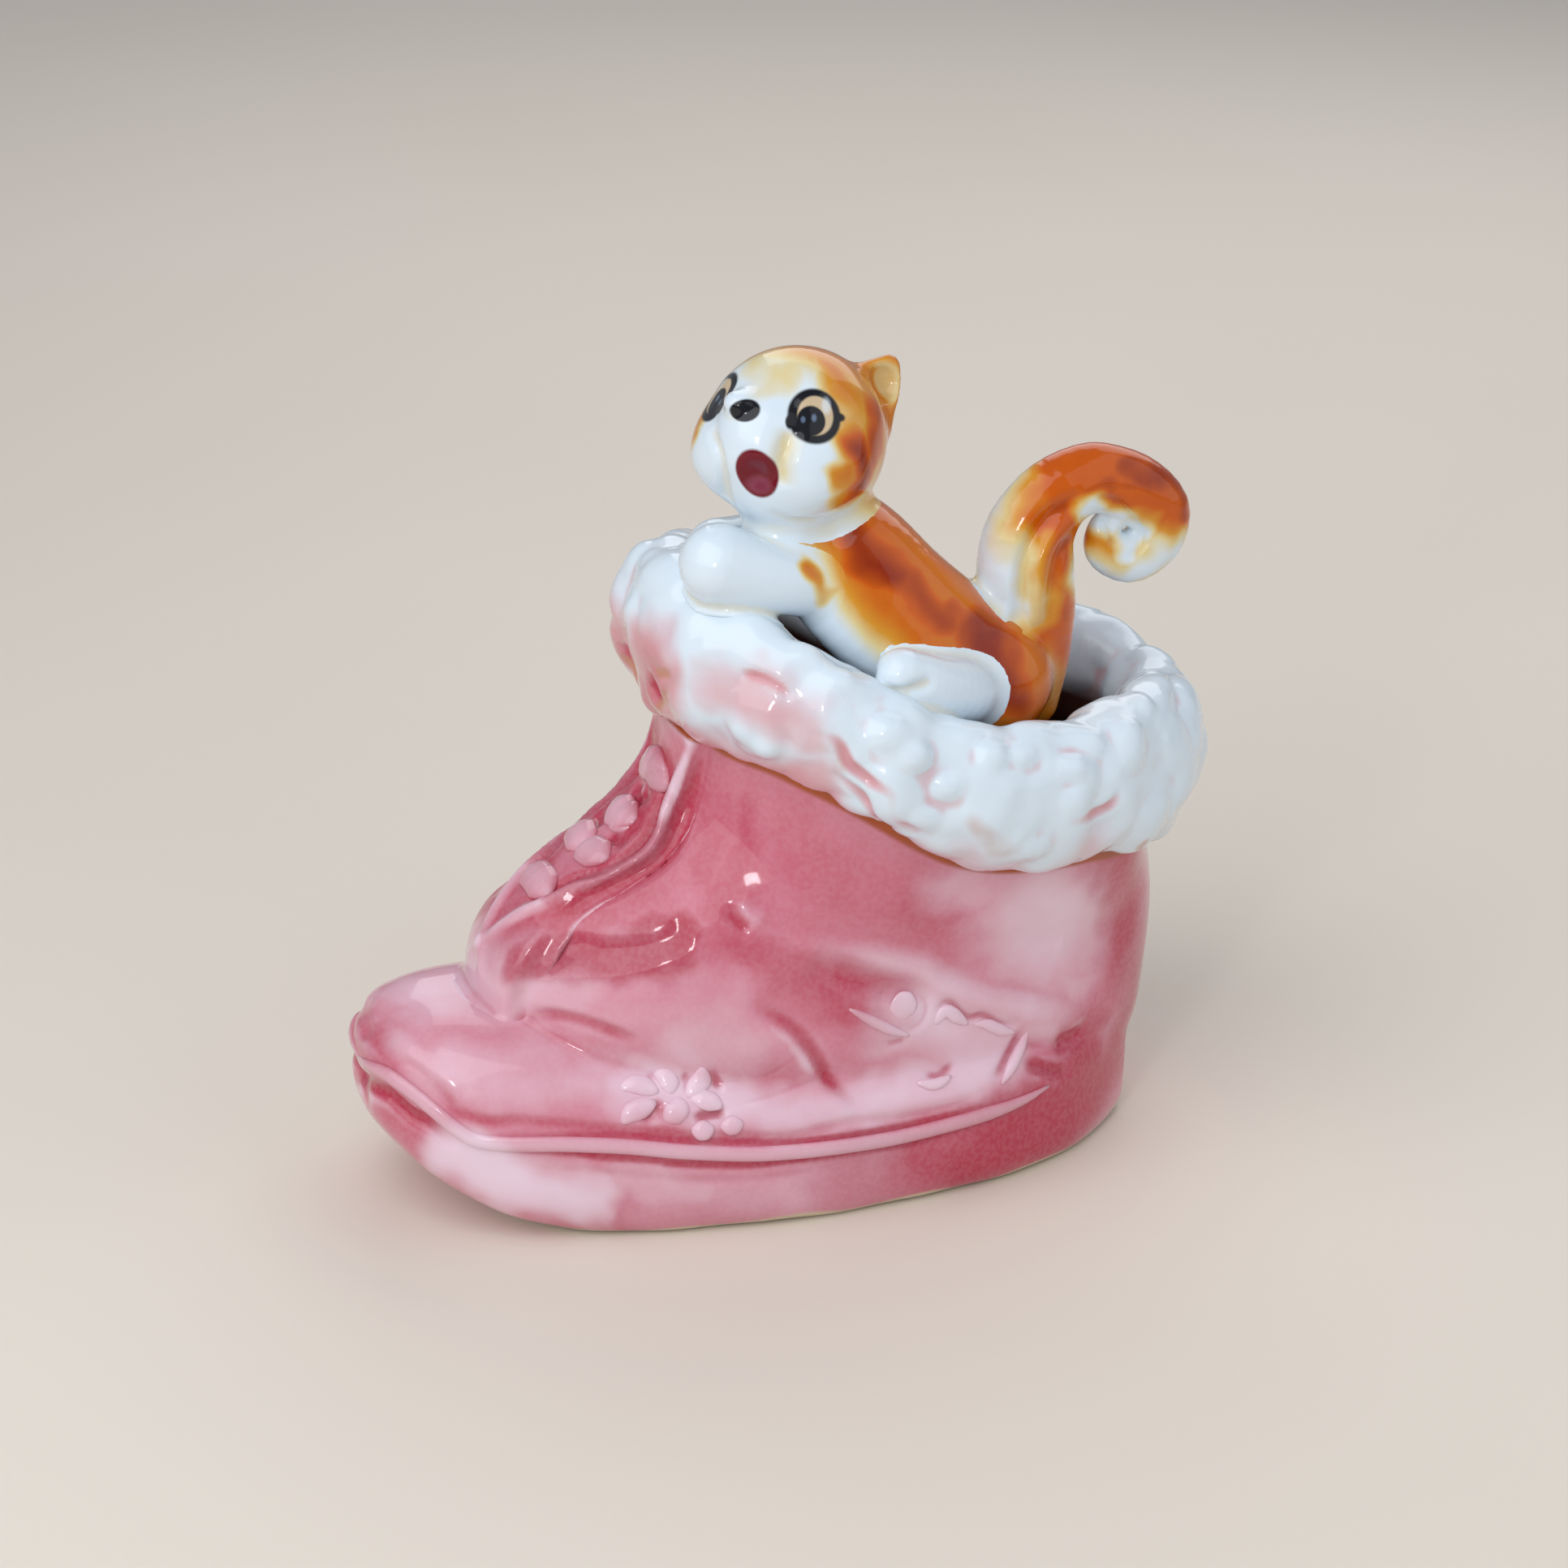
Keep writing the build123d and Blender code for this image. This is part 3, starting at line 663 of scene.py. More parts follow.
# Radius, height, paint and places of each stroke; the paint is deeper rose with painted shade in the grooves,
# and pale glaze with painted highlights on the ridges
BOOT_STROKES = (
    (1.0, -0.3, {"rose_and_shade": 0.6}, WELT_CREASE),
    (0.7, -0.35, {"rose_and_shade": 0.9, "deep": 0.25}, WELT_TOP),
    (0.75, -0.4, {"rose_and_shade": 0.95, "deep": 0.3}, WELT_UNDER),
    (0.8, -0.18, {"rose_and_shade": 0.4}, WELT_FAINT),
    (1.5, -0.75, {"rose_and_shade": 0.9, "deep": 0.3}, TOE_GROOVE),
    (2.4, 0.3, {"pale_and_highlight": 0.5}, ((470, 1262), (500, 1290), (530, 1318), (562, 1352))),
    (1.8, -0.4, {"rose_and_shade": 0.5}, ((446, 1266), (470, 1278), (490, 1284))),
    (1.1, -0.55, {"rose_and_shade": 0.7}, ((920, 1235), (951, 1251), (978, 1268), (998, 1292), (1012, 1316),
                                 (1022, 1333), (1049, 1356), (1062, 1380))),
    (2.8, 0.4, {"pale_and_highlight": 0.3}, ((945, 1262), (975, 1285), (993, 1310), (1006, 1334))),
    (2.8, 0.6, {"pale_and_highlight": 0.6}, ((985, 1157), (1035, 1174), (1089, 1187), (1137, 1199), (1154, 1211),
                               (1204, 1229), (1255, 1241), (1306, 1248), (1336, 1262))),
    (3.4, -0.6, {"rose_and_shade": 0.7}, ((1000, 1185), (1060, 1205), (1110, 1222), (1150, 1236))),
    (1.5, -0.6, {"rose_and_shade": 0.8}, ((1299, 1290), (1320, 1278), (1337, 1268))),
    (2.2, 0.35, {"pale_and_highlight": 0.5}, ((1250, 1262), (1285, 1268), (1310, 1270))),
    (1.4, -0.4, {"rose_and_shade": 0.9, "deep": 0.4}, ((1258, 1309), (1285, 1317), (1318, 1322))),
    (1.1, -0.5, {"rose_and_shade": 0.8}, ((898, 1116), (906, 1132), (924, 1148))),
    (1.8, 0.3, {"pale_and_highlight": 0.4}, ((908, 1108), (922, 1124), (942, 1140))),
    (0.9, 0.35, {"rose_and_shade": 0.3}, ((1304, 1160), (1311, 1172))),
    (0.5, -0.14, {"rose_and_shade": 0.5}, ((876, 1350), (879, 1333), (930, 1328), (953, 1320), (988, 1294))),
    (0.5, -0.14, {"rose_and_shade": 0.5}, ((899, 1363), (950, 1350), (1016, 1325))),
    (0.6, -0.2, {"rose_and_shade": 0.55}, ((1068, 1382), (1130, 1372), (1188, 1357), (1216, 1343))),
    (1.0, -0.45, {"rose_and_shade": 0.75}, ((650, 1253), (668, 1248), (700, 1252), (740, 1264), (790, 1282))),
    (0.7, -0.4, {"rose_and_shade": 0.7}, ((1089, 1287), (1104, 1284), (1118, 1279))),
    (0.6, -0.35, {"rose_and_shade": 0.6}, ((1113, 1214), (1133, 1222), (1141, 1241), (1133, 1260), (1113, 1268),
                                 (1093, 1260), (1086, 1241), (1093, 1222), (1113, 1214))),
    (0.8, -0.5, {"rose_and_shade": 0.8}, ((1258, 1265), (1247, 1290), (1236, 1312), (1225, 1333))),
    (0.7, -0.35, {"rose_and_shade": 0.8}, ((1137, 1322), (1157, 1325), (1177, 1307))),
    (0.7, -0.45, {"rose_and_shade": 0.8}, ((1150, 1253), (1157, 1240), (1167, 1233), (1187, 1250), (1196, 1253),
                                 (1211, 1250), (1231, 1260), (1255, 1260))),
    (1.3, -0.6, {"rose_and_shade": 0.85}, ((793, 1368), (797, 1372))),
    (1.2, -0.5, {"rose_and_shade": 0.8}, ((810, 1363), (812, 1367))),
    (0.9, -0.5, {"rose_and_shade": 0.95, "deep": 0.4}, ((852, 1380), (872, 1373), (897, 1370))),
    (0.6, -0.3, {"rose_and_shade": 0.6}, ((803, 1322), (800, 1338), (804, 1350))),
    (0.6, -0.3, {"rose_and_shade": 0.6}, ((846, 1318), (844, 1336), (850, 1350))),
    (0.8, -0.4, {"rose_and_shade": 0.7}, ((876, 1316), (882, 1332), (888, 1346))),
    (3.2, 0.4, {"pale_and_highlight": 0.4}, ((680, 1196), (760, 1178), (820, 1176), (870, 1172))),
    (3.2, -1.0, {"rose_and_shade": 0.9, "deep": 0.3}, ((606, 1192), (640, 1178), (690, 1172), (752, 1172), (812, 1162),
                                             (850, 1150))),
    (1.7, 0.35, {"pale_and_highlight": 0.5}, ((725, 1156), (755, 1153), (780, 1152), (806, 1149), (830, 1140))),
)

# Places of soft colour: radius, paint and places. The rose washes are deeper glaze and painted shade, and the
# pale washes are lighter glaze and painted highlights
BOOT_WASHES = (
    (4.5, {"rose_and_shade": 0.6}, ((925, 1010), (920, 1070), (880, 1120))),
    (7.0, {"pale_and_highlight": 0.5}, ((870, 1290), (920, 1285))),
    (9.0, {"pale_and_highlight": 0.42}, ((840, 1485), (960, 1480), (1060, 1455))),
    (7.0, {"pale_and_highlight": 0.55}, ((520, 1215), (600, 1212), (700, 1212))),
    (8.0, {"pale_and_highlight": 0.35}, ((640, 1235), (760, 1225), (820, 1240))),
    (6.0, {"rose_and_shade": 0.55}, ((450, 1285), (480, 1345), (530, 1400))),
    (5.0, {"pale_and_highlight": 0.95}, ((560, 1430), (640, 1460), (720, 1478))),
    (4.0, {"pale_and_highlight": 0.5}, ((760, 1450), (860, 1475))),
    (5.0, {"rose_and_shade": 0.45}, ((700, 1500), (820, 1508), (920, 1500))),
    (7.0, {"rose_and_shade": 0.65}, ((1060, 1450), (1120, 1440), (1200, 1425))),
    (9.0, {"rose_and_shade": 0.9, "deep": 0.12}, ((1230, 1420), (1300, 1385), (1340, 1330))),
    (6.5, {"rose_and_shade": 0.75}, ((1385, 1060), (1392, 1150), (1385, 1260), (1350, 1340))),
    (4.5, {"pale_and_highlight": 0.7}, ((780, 1345), (900, 1365), (1000, 1372), (1100, 1350), (1180, 1330))),
    (4.5, {"pale_and_highlight": 0.5}, ((690, 1335), (740, 1340))),
    (7.0, {"pale_and_highlight": 0.75}, ((1130, 1250), (1190, 1270), (1200, 1310))),
    (9.5, {"pale_and_highlight": 0.7}, ((1270, 1130), (1310, 1150))),
    (5.0, {"pale_and_highlight": 0.5}, ((1180, 1090), (1230, 1100), (1280, 1095))),
    (3.5, {"pale_and_highlight": 0.5}, ((1330, 1215), (1290, 1200), (1230, 1190))),
    (7.0, {"rose_and_shade": 0.5}, ((860, 960), (880, 1010), (870, 1060))),
    (8.0, {"rose_and_shade": 0.45}, ((940, 1010), (1000, 1060), (1080, 1110), (1160, 1150))),
    (4.0, {"rose_and_shade": 0.55}, ((880, 1150), (960, 1190), (1040, 1230), (1110, 1262))),
    (5.0, {"rose_and_shade": 0.4}, ((920, 1100), (1000, 1130), (1100, 1165))),
    (5.0, {"rose_and_shade": 0.4}, ((880, 1290), (950, 1330))),
    (6.0, {"rose_and_shade": 0.2}, ((640, 1290), (760, 1300), (860, 1290))),
    (8.0, {"rose_and_shade": 0.6}, ((620, 1140), (700, 1120), (780, 1090))),
    (3.6, {"rose_and_shade": 1.0, "deep": 0.3}, ((822, 950), (806, 1000), (780, 1050), (730, 1080), (690, 1095))),
    (3.8, {"rose_and_shade": 1.0, "deep": 0.35}, ((640, 1185), (700, 1174), (760, 1172), (830, 1158))),
    (6.0, {"pale_and_highlight": 0.5}, ((560, 1300), (640, 1320), (740, 1330))),
    (3.0, {"pale_and_highlight": 0.4}, ((1404, 1120), (1410, 1200), (1400, 1280))),
)


def sample(room, field, points):
    """A field read at points."""
    place = (points - room.low) / room.step
    first = np.clip(np.floor(place).astype(int), 0, np.array(room.count) - 2)
    share = np.clip(place - first, 0, 1)
    total = 0.0
    for corner in range(8):
        step = np.array([(corner >> axis) & 1 for axis in range(3)])
        weight = np.prod(np.where(step, share, 1 - share), axis=1)
        total = total + weight * field[tuple((first + step).T)]
    return total


def wash(skin, tree, table, both_sides=True, turn=None):
    for radius, paint, places in table:
        line = line_on(tree, places)
        lines = [line]
        if both_sides:
            lines.append(mirrored(line) if turn is None else turn(line))
        for side in lines:
            stroke(skin, side, radius, 0.0, paint, strayed(skin), taper=0.0, wide=1.5)


def clay_bumps(skin, depth, size, seed):
    """Uneven hand-worked clay: raises and sinks the surface softly."""
    offset = Vector((seed * 7.3, seed * 3.1, seed * 5.7))
    values = np.array([noise.noise(Vector(p) / size + offset) for p in skin.points])
    skin.points += skin.normals() * (values * depth)[:, None]


def shade_by_form(skin, rose_and_shade, pale_and_highlight, times=4):
    """Deeper rose in hollows and paler glaze on what stands out: pooled and thinned glaze, with painted shade
    and painted highlight.
    """
    bend = skin.hollows(times) * 100
    skin.mark("rose_and_shade", np.clip(bend * rose_and_shade, 0, 0.9))
    skin.mark("pale_and_highlight", np.clip(-bend * pale_and_highlight, 0, 0.8))


LOOPS = (
    ((820, 950), (806, 943), (792, 936)), ((783, 1012), (768, 1004), (752, 996)),
    ((748, 1060), (732, 1050), (716, 1040)), ((672, 1092), (662, 1080), (652, 1070)),
)
# The panel's ridge is painted pale as a painted highlight, and its grooves rose and deep rose as painted shade
PANEL_STROKES = (
    (1.3, 0.75, {"pale_and_highlight": 0.7}, ((848, 925), (840, 946), (830, 970), (819, 996), (814, 1017), (806, 1038),
                                (793, 1054), (764, 1067), (733, 1082), (707, 1090), (676, 1108), (649, 1121),
                                (623, 1137), (597, 1158), (576, 1179))),
    (1.2, -0.8, {"rose_and_shade": 0.9, "deep": 0.45}, ((827, 938), (812, 986), (801, 1022), (785, 1043), (749, 1072),
                                              (707, 1084), (689, 1093), (650, 1112))),
    (1.4, -0.6, {"rose_and_shade": 0.9, "deep": 0.3}, ((800, 975), (788, 985), (776, 990))),
    (1.2, -0.6, {"rose_and_shade": 0.9, "deep": 0.3}, ((748, 1030), (762, 1036), (770, 1040))),
    (2.0, -0.6, {"rose_and_shade": 0.8}, ((861, 930), (852, 970), (842, 1005), (830, 1035), (810, 1060), (770, 1085),
                                (720, 1105), (670, 1135), (640, 1155))),
)

PINK_MARKS = ("rose_and_shade", "pale_and_highlight", "deep", "bare", "tan", "inside")
for skin in (boot, panel):
    skin.marks = {name: np.zeros(len(skin.points)) for name in PINK_MARKS}
clay_bumps(boot, 0.35, 9.0, 1)
work(boot, boot_only, BOOT_STROKES)
work(boot, boot_only, PANEL_STROKES)
work(panel, boot_only, PANEL_STROKES)
for skin in (boot, panel):
    wash(skin, boot_only, BOOT_WASHES)
    shade_by_form(skin, 0.35, 0.3)
height = boot.points[:, 2]
uneven = np.array([noise.noise(Vector(p) / 9.0) for p in boot.points])
boot.mark("bare", np.clip((1.1 + 1.2 * uneven - height) / 0.4, 0, 1))
# Painted shade: the boot's inner walls above its floor get the dark inside colour
outward = boot.points[:, :2] - np.array((0.0, 17.0))
facing_in = -np.einsum("ij,ij->i", boot.normals()[:, :2], outward) / np.linalg.norm(outward, axis=1).clip(1)
boot.mark("inside", np.clip(facing_in / 0.1, 0, 1) * (height > 4.5))
for skin in (boot, panel):
    gap = sample(boot_room, ring_field, skin.points)
    skin.mark("tan", 0.9 * np.clip((1.7 - gap) / 0.8, 0, 1))

welt_rolls = [roll(boot_only, WELT_BEAD, 1.0, 0.62, 0.6, 4, mirror_it=side) for side in (False, True)]
welt = joined_rolls(welt_rolls)
loop_rolls = [roll(boot_only, places, 2.3, 1.0, 1.0, 8, ends=0.3, mirror_it=side)
              for places in LOOPS for side in (False, True)]
loops = joined_rolls(loop_rolls)

PETALS = (
    (((764, 1341), (784, 1336), (812, 1346)), 1.25, 0.6),
    (((806, 1322), (822, 1330), (828, 1348)), 1.3, 0.65),
    (((866, 1315), (862, 1334), (846, 1352)), 1.3, 0.65),
    (((766, 1384), (780, 1370), (808, 1358)), 1.35, 0.65),
    (((818, 1380), (834, 1368), (838, 1352)), 1.5, 0.7),
    (((890, 1364), (872, 1356), (850, 1352)), 1.25, 0.6),
    (((852, 1392), (866, 1393), (880, 1390)), 1.25, 0.55),
    (((888, 1388), (902, 1387), (916, 1384)), 1.2, 0.55),
)
LEAF = (
    (((1097, 1241), (1113, 1240), (1129, 1241)), 1.9, 0.35),
    (((1046, 1243), (1075, 1258), (1098, 1269), (1120, 1276)), 0.75, 0.6),
    (((1152, 1262), (1165, 1246), (1180, 1254), (1192, 1262)), 0.9, 0.5),
    (((1200, 1262), (1215, 1262), (1235, 1270), (1250, 1272)), 0.8, 0.45),
    (((1266, 1268), (1256, 1292), (1245, 1316), (1234, 1336)), 0.75, 0.7),
    (((1130, 1334), (1152, 1336), (1172, 1326)), 0.7, 0.4),
)
sprigs = {}
for side_name, side in (("near", False), ("far", True)):
    for kind, table in (("flower", PETALS), ("leaf", LEAF)):
        sprigs[f"{side_name}_{kind}_sprig"] = joined_rolls(
            [roll(boot_only, places, width, proud, 0.7, 5, ends=0.35, mirror_it=side)
             for places, width, proud in table])

for skin in (welt, loops, *sprigs.values()):
    skin.marks.update({name: np.zeros(len(skin.points)) for name in PINK_MARKS})
    wash(skin, boot_only, BOOT_WASHES)

# The cuff's lobes of slip: short strokes, kept apart by the creases between them
rng = np.random.RandomState(11)
ring_middle = cuff.points.mean(0)
count = len(cuff.points)
cuff.marks = {name: np.zeros(count) for name in ("rose_and_shade", "blush_and_shade", "tan")}
clay_bumps(cuff, 0.9, 7.0, 3)
clay_bumps(cuff, 0.3, 3.4, 4)
far_rim = curve_through(((-20, 3, 74), (-24, 15, 69), (-22, 28, 65), (-14, 38, 63), (-4, 42, 62)), 5)
lift = stroke(cuff, far_rim, 13.0, 1.6)
cuff.points[:, 2] += lift * np.clip(cuff.normals()[:, 2] + 0.3, 0, 1)
base_points, base_normals = cuff.points.copy(), cuff.normals()
lobes = np.zeros(count)
for index in rng.choice(count, 130, replace=False):
    p, n = base_points[index], base_normals[index]
    outward = unit(np.array((p[0], p[1] - ring_middle[1], 0.0)))
    down = unit(np.cross(np.cross(n, np.array((0.0, 0.0, -1.0)) + 0.4 * rng.normal(size=3)), n))
    length = rng.uniform(0.5, 3.4)
    line = np.array([p - down * length, p, p + down * length])
    radius, height = rng.uniform(2.2, 4.2), rng.uniform(0.4, 1.0)
    near = np.flatnonzero(np.linalg.norm(base_points - p, axis=1) < length + radius)
    distance, _ = measure(base_points[near], line)
    lobes[near] = np.maximum(lobes[near], height * np.clip(1 - (distance / radius) ** 2, 0, 1))
for _ in range(5):
    lobes = 0.5 * lobes + 0.5 * cuff.around(lobes)
cuff.points += base_normals * lobes[:, None]

# Creases in the cuff are sunk and painted blush and rose, as tint and as painted shade; rows without paint raise
# lumps
CUFF_STROKES = (
    (0.9, -0.8, {"blush_and_shade": 0.9, "rose_and_shade": 0.3}, ((909, 830), (948, 839), (977, 859))),
    (0.9, -0.8, {"blush_and_shade": 0.9, "rose_and_shade": 0.3}, ((1001, 902), (1030, 912), (1045, 941), (1069, 961),
                                              (1098, 975), (1103, 999), (1132, 1028))),
    (0.8, -0.7, {"blush_and_shade": 0.8}, ((1021, 951), (1060, 980), (1089, 1014), (1098, 1033), (1166, 1057))),
    (0.9, -0.7, {"blush_and_shade": 0.8}, ((1312, 1009), (1360, 999), (1380, 975))),
    (0.9, -0.6, {"blush_and_shade": 0.6}, ((943, 864), (953, 888), (982, 922))),
    (2.0, -1.2, {"rose_and_shade": 0.9}, ((762, 795), (768, 820), (776, 838))),
    (1.0, -0.3, {"tan": 0.8}, ((803, 828), (830, 830))),
    (1.0, -0.3, {"tan": 0.8}, ((822, 832), (818, 860), (812, 882))),
    (2.6, 0.9, {}, ((919, 893), (920, 896))), (2.2, 0.8, {}, ((943, 917), (946, 918))),
    (3.0, 0.9, {}, ((1094, 902), (1098, 903))), (2.4, 0.8, {}, ((1127, 931), (1130, 932))),
    (2.4, 0.8, {}, ((1166, 970), (1170, 970))), (2.6, 0.8, {}, ((1220, 931), (1223, 931))),
    (2.4, 0.8, {}, ((1258, 931), (1261, 931))), (2.4, 0.8, {}, ((1317, 946), (1320, 946))),
    (2.4, 0.8, {}, ((1404, 868), (1406, 870))), (2.6, 0.7, {}, ((992, 805), (996, 806))),
    (2.6, 0.7, {}, ((1030, 839), (1034, 840))), (2.4, 0.8, {}, ((1137, 1009), (1140, 1010))),
    (2.6, 0.8, {}, ((1268, 1048), (1272, 1048))),
)
CUFF_WASHES = (
    (7.0, {"blush_and_shade": 1.0, "rose_and_shade": 0.5}, ((762, 790), (775, 850), (800, 890))),
    (6.0, {"blush_and_shade": 0.85}, ((840, 900), (900, 935), (960, 960))),
    (4.0, {"blush_and_shade": 0.6}, ((880, 850), (940, 855), (1000, 890))),
    (5.0, {"blush_and_shade": 0.75}, ((990, 960), (1060, 1010), (1130, 1055))),
    (4.0, {"blush_and_shade": 0.45}, ((1180, 1060), (1260, 1075), (1340, 1050))),
    (3.0, {"tan": 0.55}, ((1205, 1020), (1225, 1040))), (2.5, {"tan": 0.45}, ((1020, 910), (1040, 950))),
    (1.5, {"tan": 0.9}, ((830, 915), (880, 935), (950, 962))),
    (1.2, {"tan": 0.8}, ((1080, 1050), (1150, 1070), (1240, 1083))),
    (1.2, {"tan": 0.7}, ((1340, 1060), (1375, 1050), (1400, 1036))),
)
work(cuff, surface, CUFF_STROKES)
wash(cuff, surface, CUFF_WASHES)
bend = cuff.hollows(2) * 100
from_middle = cuff.points[:, :2] - np.array((0.0, 17.0))
angles = np.arctan2(from_middle[:, 1], from_middle[:, 0]) + math.pi
bins = (angles / (2 * math.pi) * 71.99).astype(int)
brims = np.full(72, -1e9)
np.maximum.at(brims, bins, cuff.points[:, 2])
brims = np.mean([np.roll(brims, shift) for shift in range(-3, 4)], axis=0)
brim = np.interp(angles, (np.arange(72) + 0.5) / 72 * 2 * math.pi, brims, period=2 * math.pi)
# Painted shade: the cuff's inner face, deep below its brim, gets the dark inside colour
reach = np.linalg.norm(from_middle, axis=1).clip(1)
turned_in = -np.einsum("ij,ij->i", cuff.normals()[:, :2], from_middle) / reach
deeper = brim - cuff.points[:, 2]
cuff.mark("inside", np.clip(turned_in / 0.2, 0, 1) * np.clip((deeper - 6.0) / 3.0, 0, 1))
# Painted shade: blush deepened in the cuff's hollows
cuff.mark("blush_and_shade", np.clip(bend * 0.28, 0, 0.42))

pink = pink_glaze("pink_glaze")
pink_relief = pink_glaze("pink_relief_glaze", True)
white = white_glaze("white_glaze")
piece("boot_shell", boot, pink, "pink_glaze", "boot_body")
piece("lace_panel_relief", panel, pink, "pink_glaze", "lace_panel")
piece("welt_bead", welt, pink_relief, "pink_glaze", "sole_welt")
piece("lace_loop_beads", loops, pink_relief, "pink_glaze", "lace_loops")
for name, skin in sprigs.items():
    piece(name + "_relief", skin, pink_relief, "pink_glaze", name)
piece("fur_cuff_lobes", cuff, white, "white_glaze", "fur_cuff")


# The squirrel

HEAD = np.array((3.0, 0.83, 92.0))
HEAD_RADIUS = 10.9
FACE = unit((0.616, -0.788, 0.0))
NEAR_SIDE = unit((0.788, 0.616, 0.0))
TORSO_LINE = np.array(((4.0, 4.7, 80.2, 6.6), (6.5, 7.5, 76.7, 7.5), (8.5, 11.7, 71.2, 8.1),
                       (9.5, 17.5, 65.3, 8.3), (9.5, 21.7, 61.0, 7.6)))
BACK_WAY = unit((0.1, 0.75, 0.66))


def over_face(points):
    """The same points on the other side of the face."""
    points = np.asarray(points, float)
    reach = (points - HEAD) @ NEAR_SIDE
    return points - 2 * np.multiply.outer(reach, NEAR_SIDE)


def out_of_head(across, down):
    """The way from the head's middle to what is seen at a place of the photograph."""
    flat = on_plane(across, down, HEAD, 0.0) - HEAD
    rest = HEAD_RADIUS ** 2 - flat @ flat
    return unit(flat + BACK * math.sqrt(max(rest, 0.5)))


def smooth_max(a, b, k):
    return -smooth_min(-a, -b, k)


def ear_form(corners, facing):
    grid = cells
    corners = [np.asarray(p, float) for p in corners]
    a, b, c = corners[0], corners[1], corners[-1]
    n = unit(np.cross(b - a, c - a))
    if n @ facing < 0:
        n = -n
    m = np.mean(corners, 0)
    d = [g - p for g, p in zip(grid, m)]
    deep = d[0] * n[0] + d[1] * n[1] + d[2] * n[2]
    spread = d[0] ** 2 + d[1] ** 2 + d[2] ** 2 - deep ** 2
    sides = None
    for p, q in zip(corners, corners[1:] + corners[:1]):
        out = unit(np.cross(q - p, n))
        if out @ (m - p) > 0:
            out = -out
        edge = (grid[0] - p[0]) * out[0] + (grid[1] - p[1]) * out[1] + (grid[2] - p[2]) * out[2]
        sides = edge if sides is None else smooth_max(sides, edge, 1.6)
    body = smooth_max(sides - 0.9, np.abs(deep - 0.035 * spread) - 1.0, 1.2)
    u = unit(b - a)
    cup = egg(room, m + n * 1.5 - u * 0.2, (2.3, 2.3, 1.9), (u, np.cross(n, u), n))
    return smooth_max(body, -cup, 0.6).astype(np.float32)


room = Room((-14.5, -19, 53), (24.5, 51, 106), 0.3)
cells = room.open()
cuff_room_field = resample(ring_field, boot_room, room) - 0.1
torso_field = smooth_min(chain(room, TORSO_LINE), egg(room, (11.5, 22.0, 62.0), (7.2, 8.0, 7.6)), 2.0)
belly_field = chain(room, ((8.5, 2.0, 76.8, 4.6), (10.0, 4.6, 73.4, 5.4), (12.4, 12.0, 66.5, 6.4)))
torso_field = smooth_min(torso_field, belly_field, 1.6)
torso_field = smooth_min(torso_field, egg(room, (6.6, -2.2, 80.4), (5.0, 5.0, 4.4)), 2.0)

head_field = egg(room, HEAD, (HEAD_RADIUS - 0.2, HEAD_RADIUS - 0.2, HEAD_RADIUS))
BUMPS = ((920, 560, 5.2, 1.7), (922, 522, 4.0, 1.1), (1004, 600, 5.2, 1.5), (936, 628, 4.6, 0.7),
         (1045, 590, 5.0, 0.4))
for across, down, radius, proud in BUMPS:
    way = out_of_head(across, down)
    centre = HEAD + way * (HEAD_RADIUS + proud - radius)
    head_field = smooth_min(head_field, egg(room, centre, (radius,) * 3), 2.0)
    if across > 990:
        head_field = smooth_min(head_field, egg(room, over_face(centre), (radius,) * 3), 2.0)
nose_way = out_of_head(918, 507)
head_field = smooth_min(head_field, egg(room, HEAD + nose_way * (HEAD_RADIUS + 0.8), (2.0, 2.0, 1.5)), 0.9)

near_ear_corners = [on_plane(1056, 457, HEAD, -1.2), on_plane(1097, 445, HEAD, -3.0),
                    on_plane(1104, 470, HEAD, -3.4), on_plane(1088, 520, HEAD, -2.6)]
far_shift = np.array((-1.0, -3.0, -2.6))
far_ear_corners = [over_face(p) + far_shift for p in near_ear_corners]
near_ear_facing = unit(FACE + 0.6 * BACK)
far_ear_facing = over_face(near_ear_facing + HEAD) - HEAD

fields = {
    "squirrel_head": (head_field, torso_field, 2.2),
    "near_ear": (ear_form(near_ear_corners, near_ear_facing), head_field, 1.4),
    "far_ear": (ear_form(far_ear_corners, far_ear_facing), head_field, 1.4),
}
both = np.minimum(torso_field, head_field)
near_arm_field = chain(room, ((8.0, 5.0, 74.0, 3.3), (10.3, 0.2, 76.2, 3.7), (11.0, -5.6, 78.3, 4.0),
                               (10.0, -11.0, 80.4, 4.8)))
far_arm_field = chain(room, ((-3.0, 3.5, 75.3, 3.4), (-4.0, -1.2, 76.6, 3.6), (-1.0, -7.4, 77.6, 3.9)))
near_leg_field = chain(room, ((14.0, 19.3, 62.4, 4.0), (17.0, 16.5, 63.5, 4.2), (19.6, 11.9, 65.7, 3.7),
                               (20.5, 7.6, 68.2, 3.1)))
near_leg_field = smooth_min(near_leg_field, chain(room, ((19.0, 13.5, 63.0, 2.6), (20.8, 9.0, 64.6, 2.3))), 0.8)
far_leg_field = chain(room, ((4.0, 24.0, 60.2, 4.0), (-1.0, 22.9, 59.2, 4.2), (-2.0, 18.5, 62.1, 3.9),
                              (-2.0, 14.2, 65.9, 2.8)))
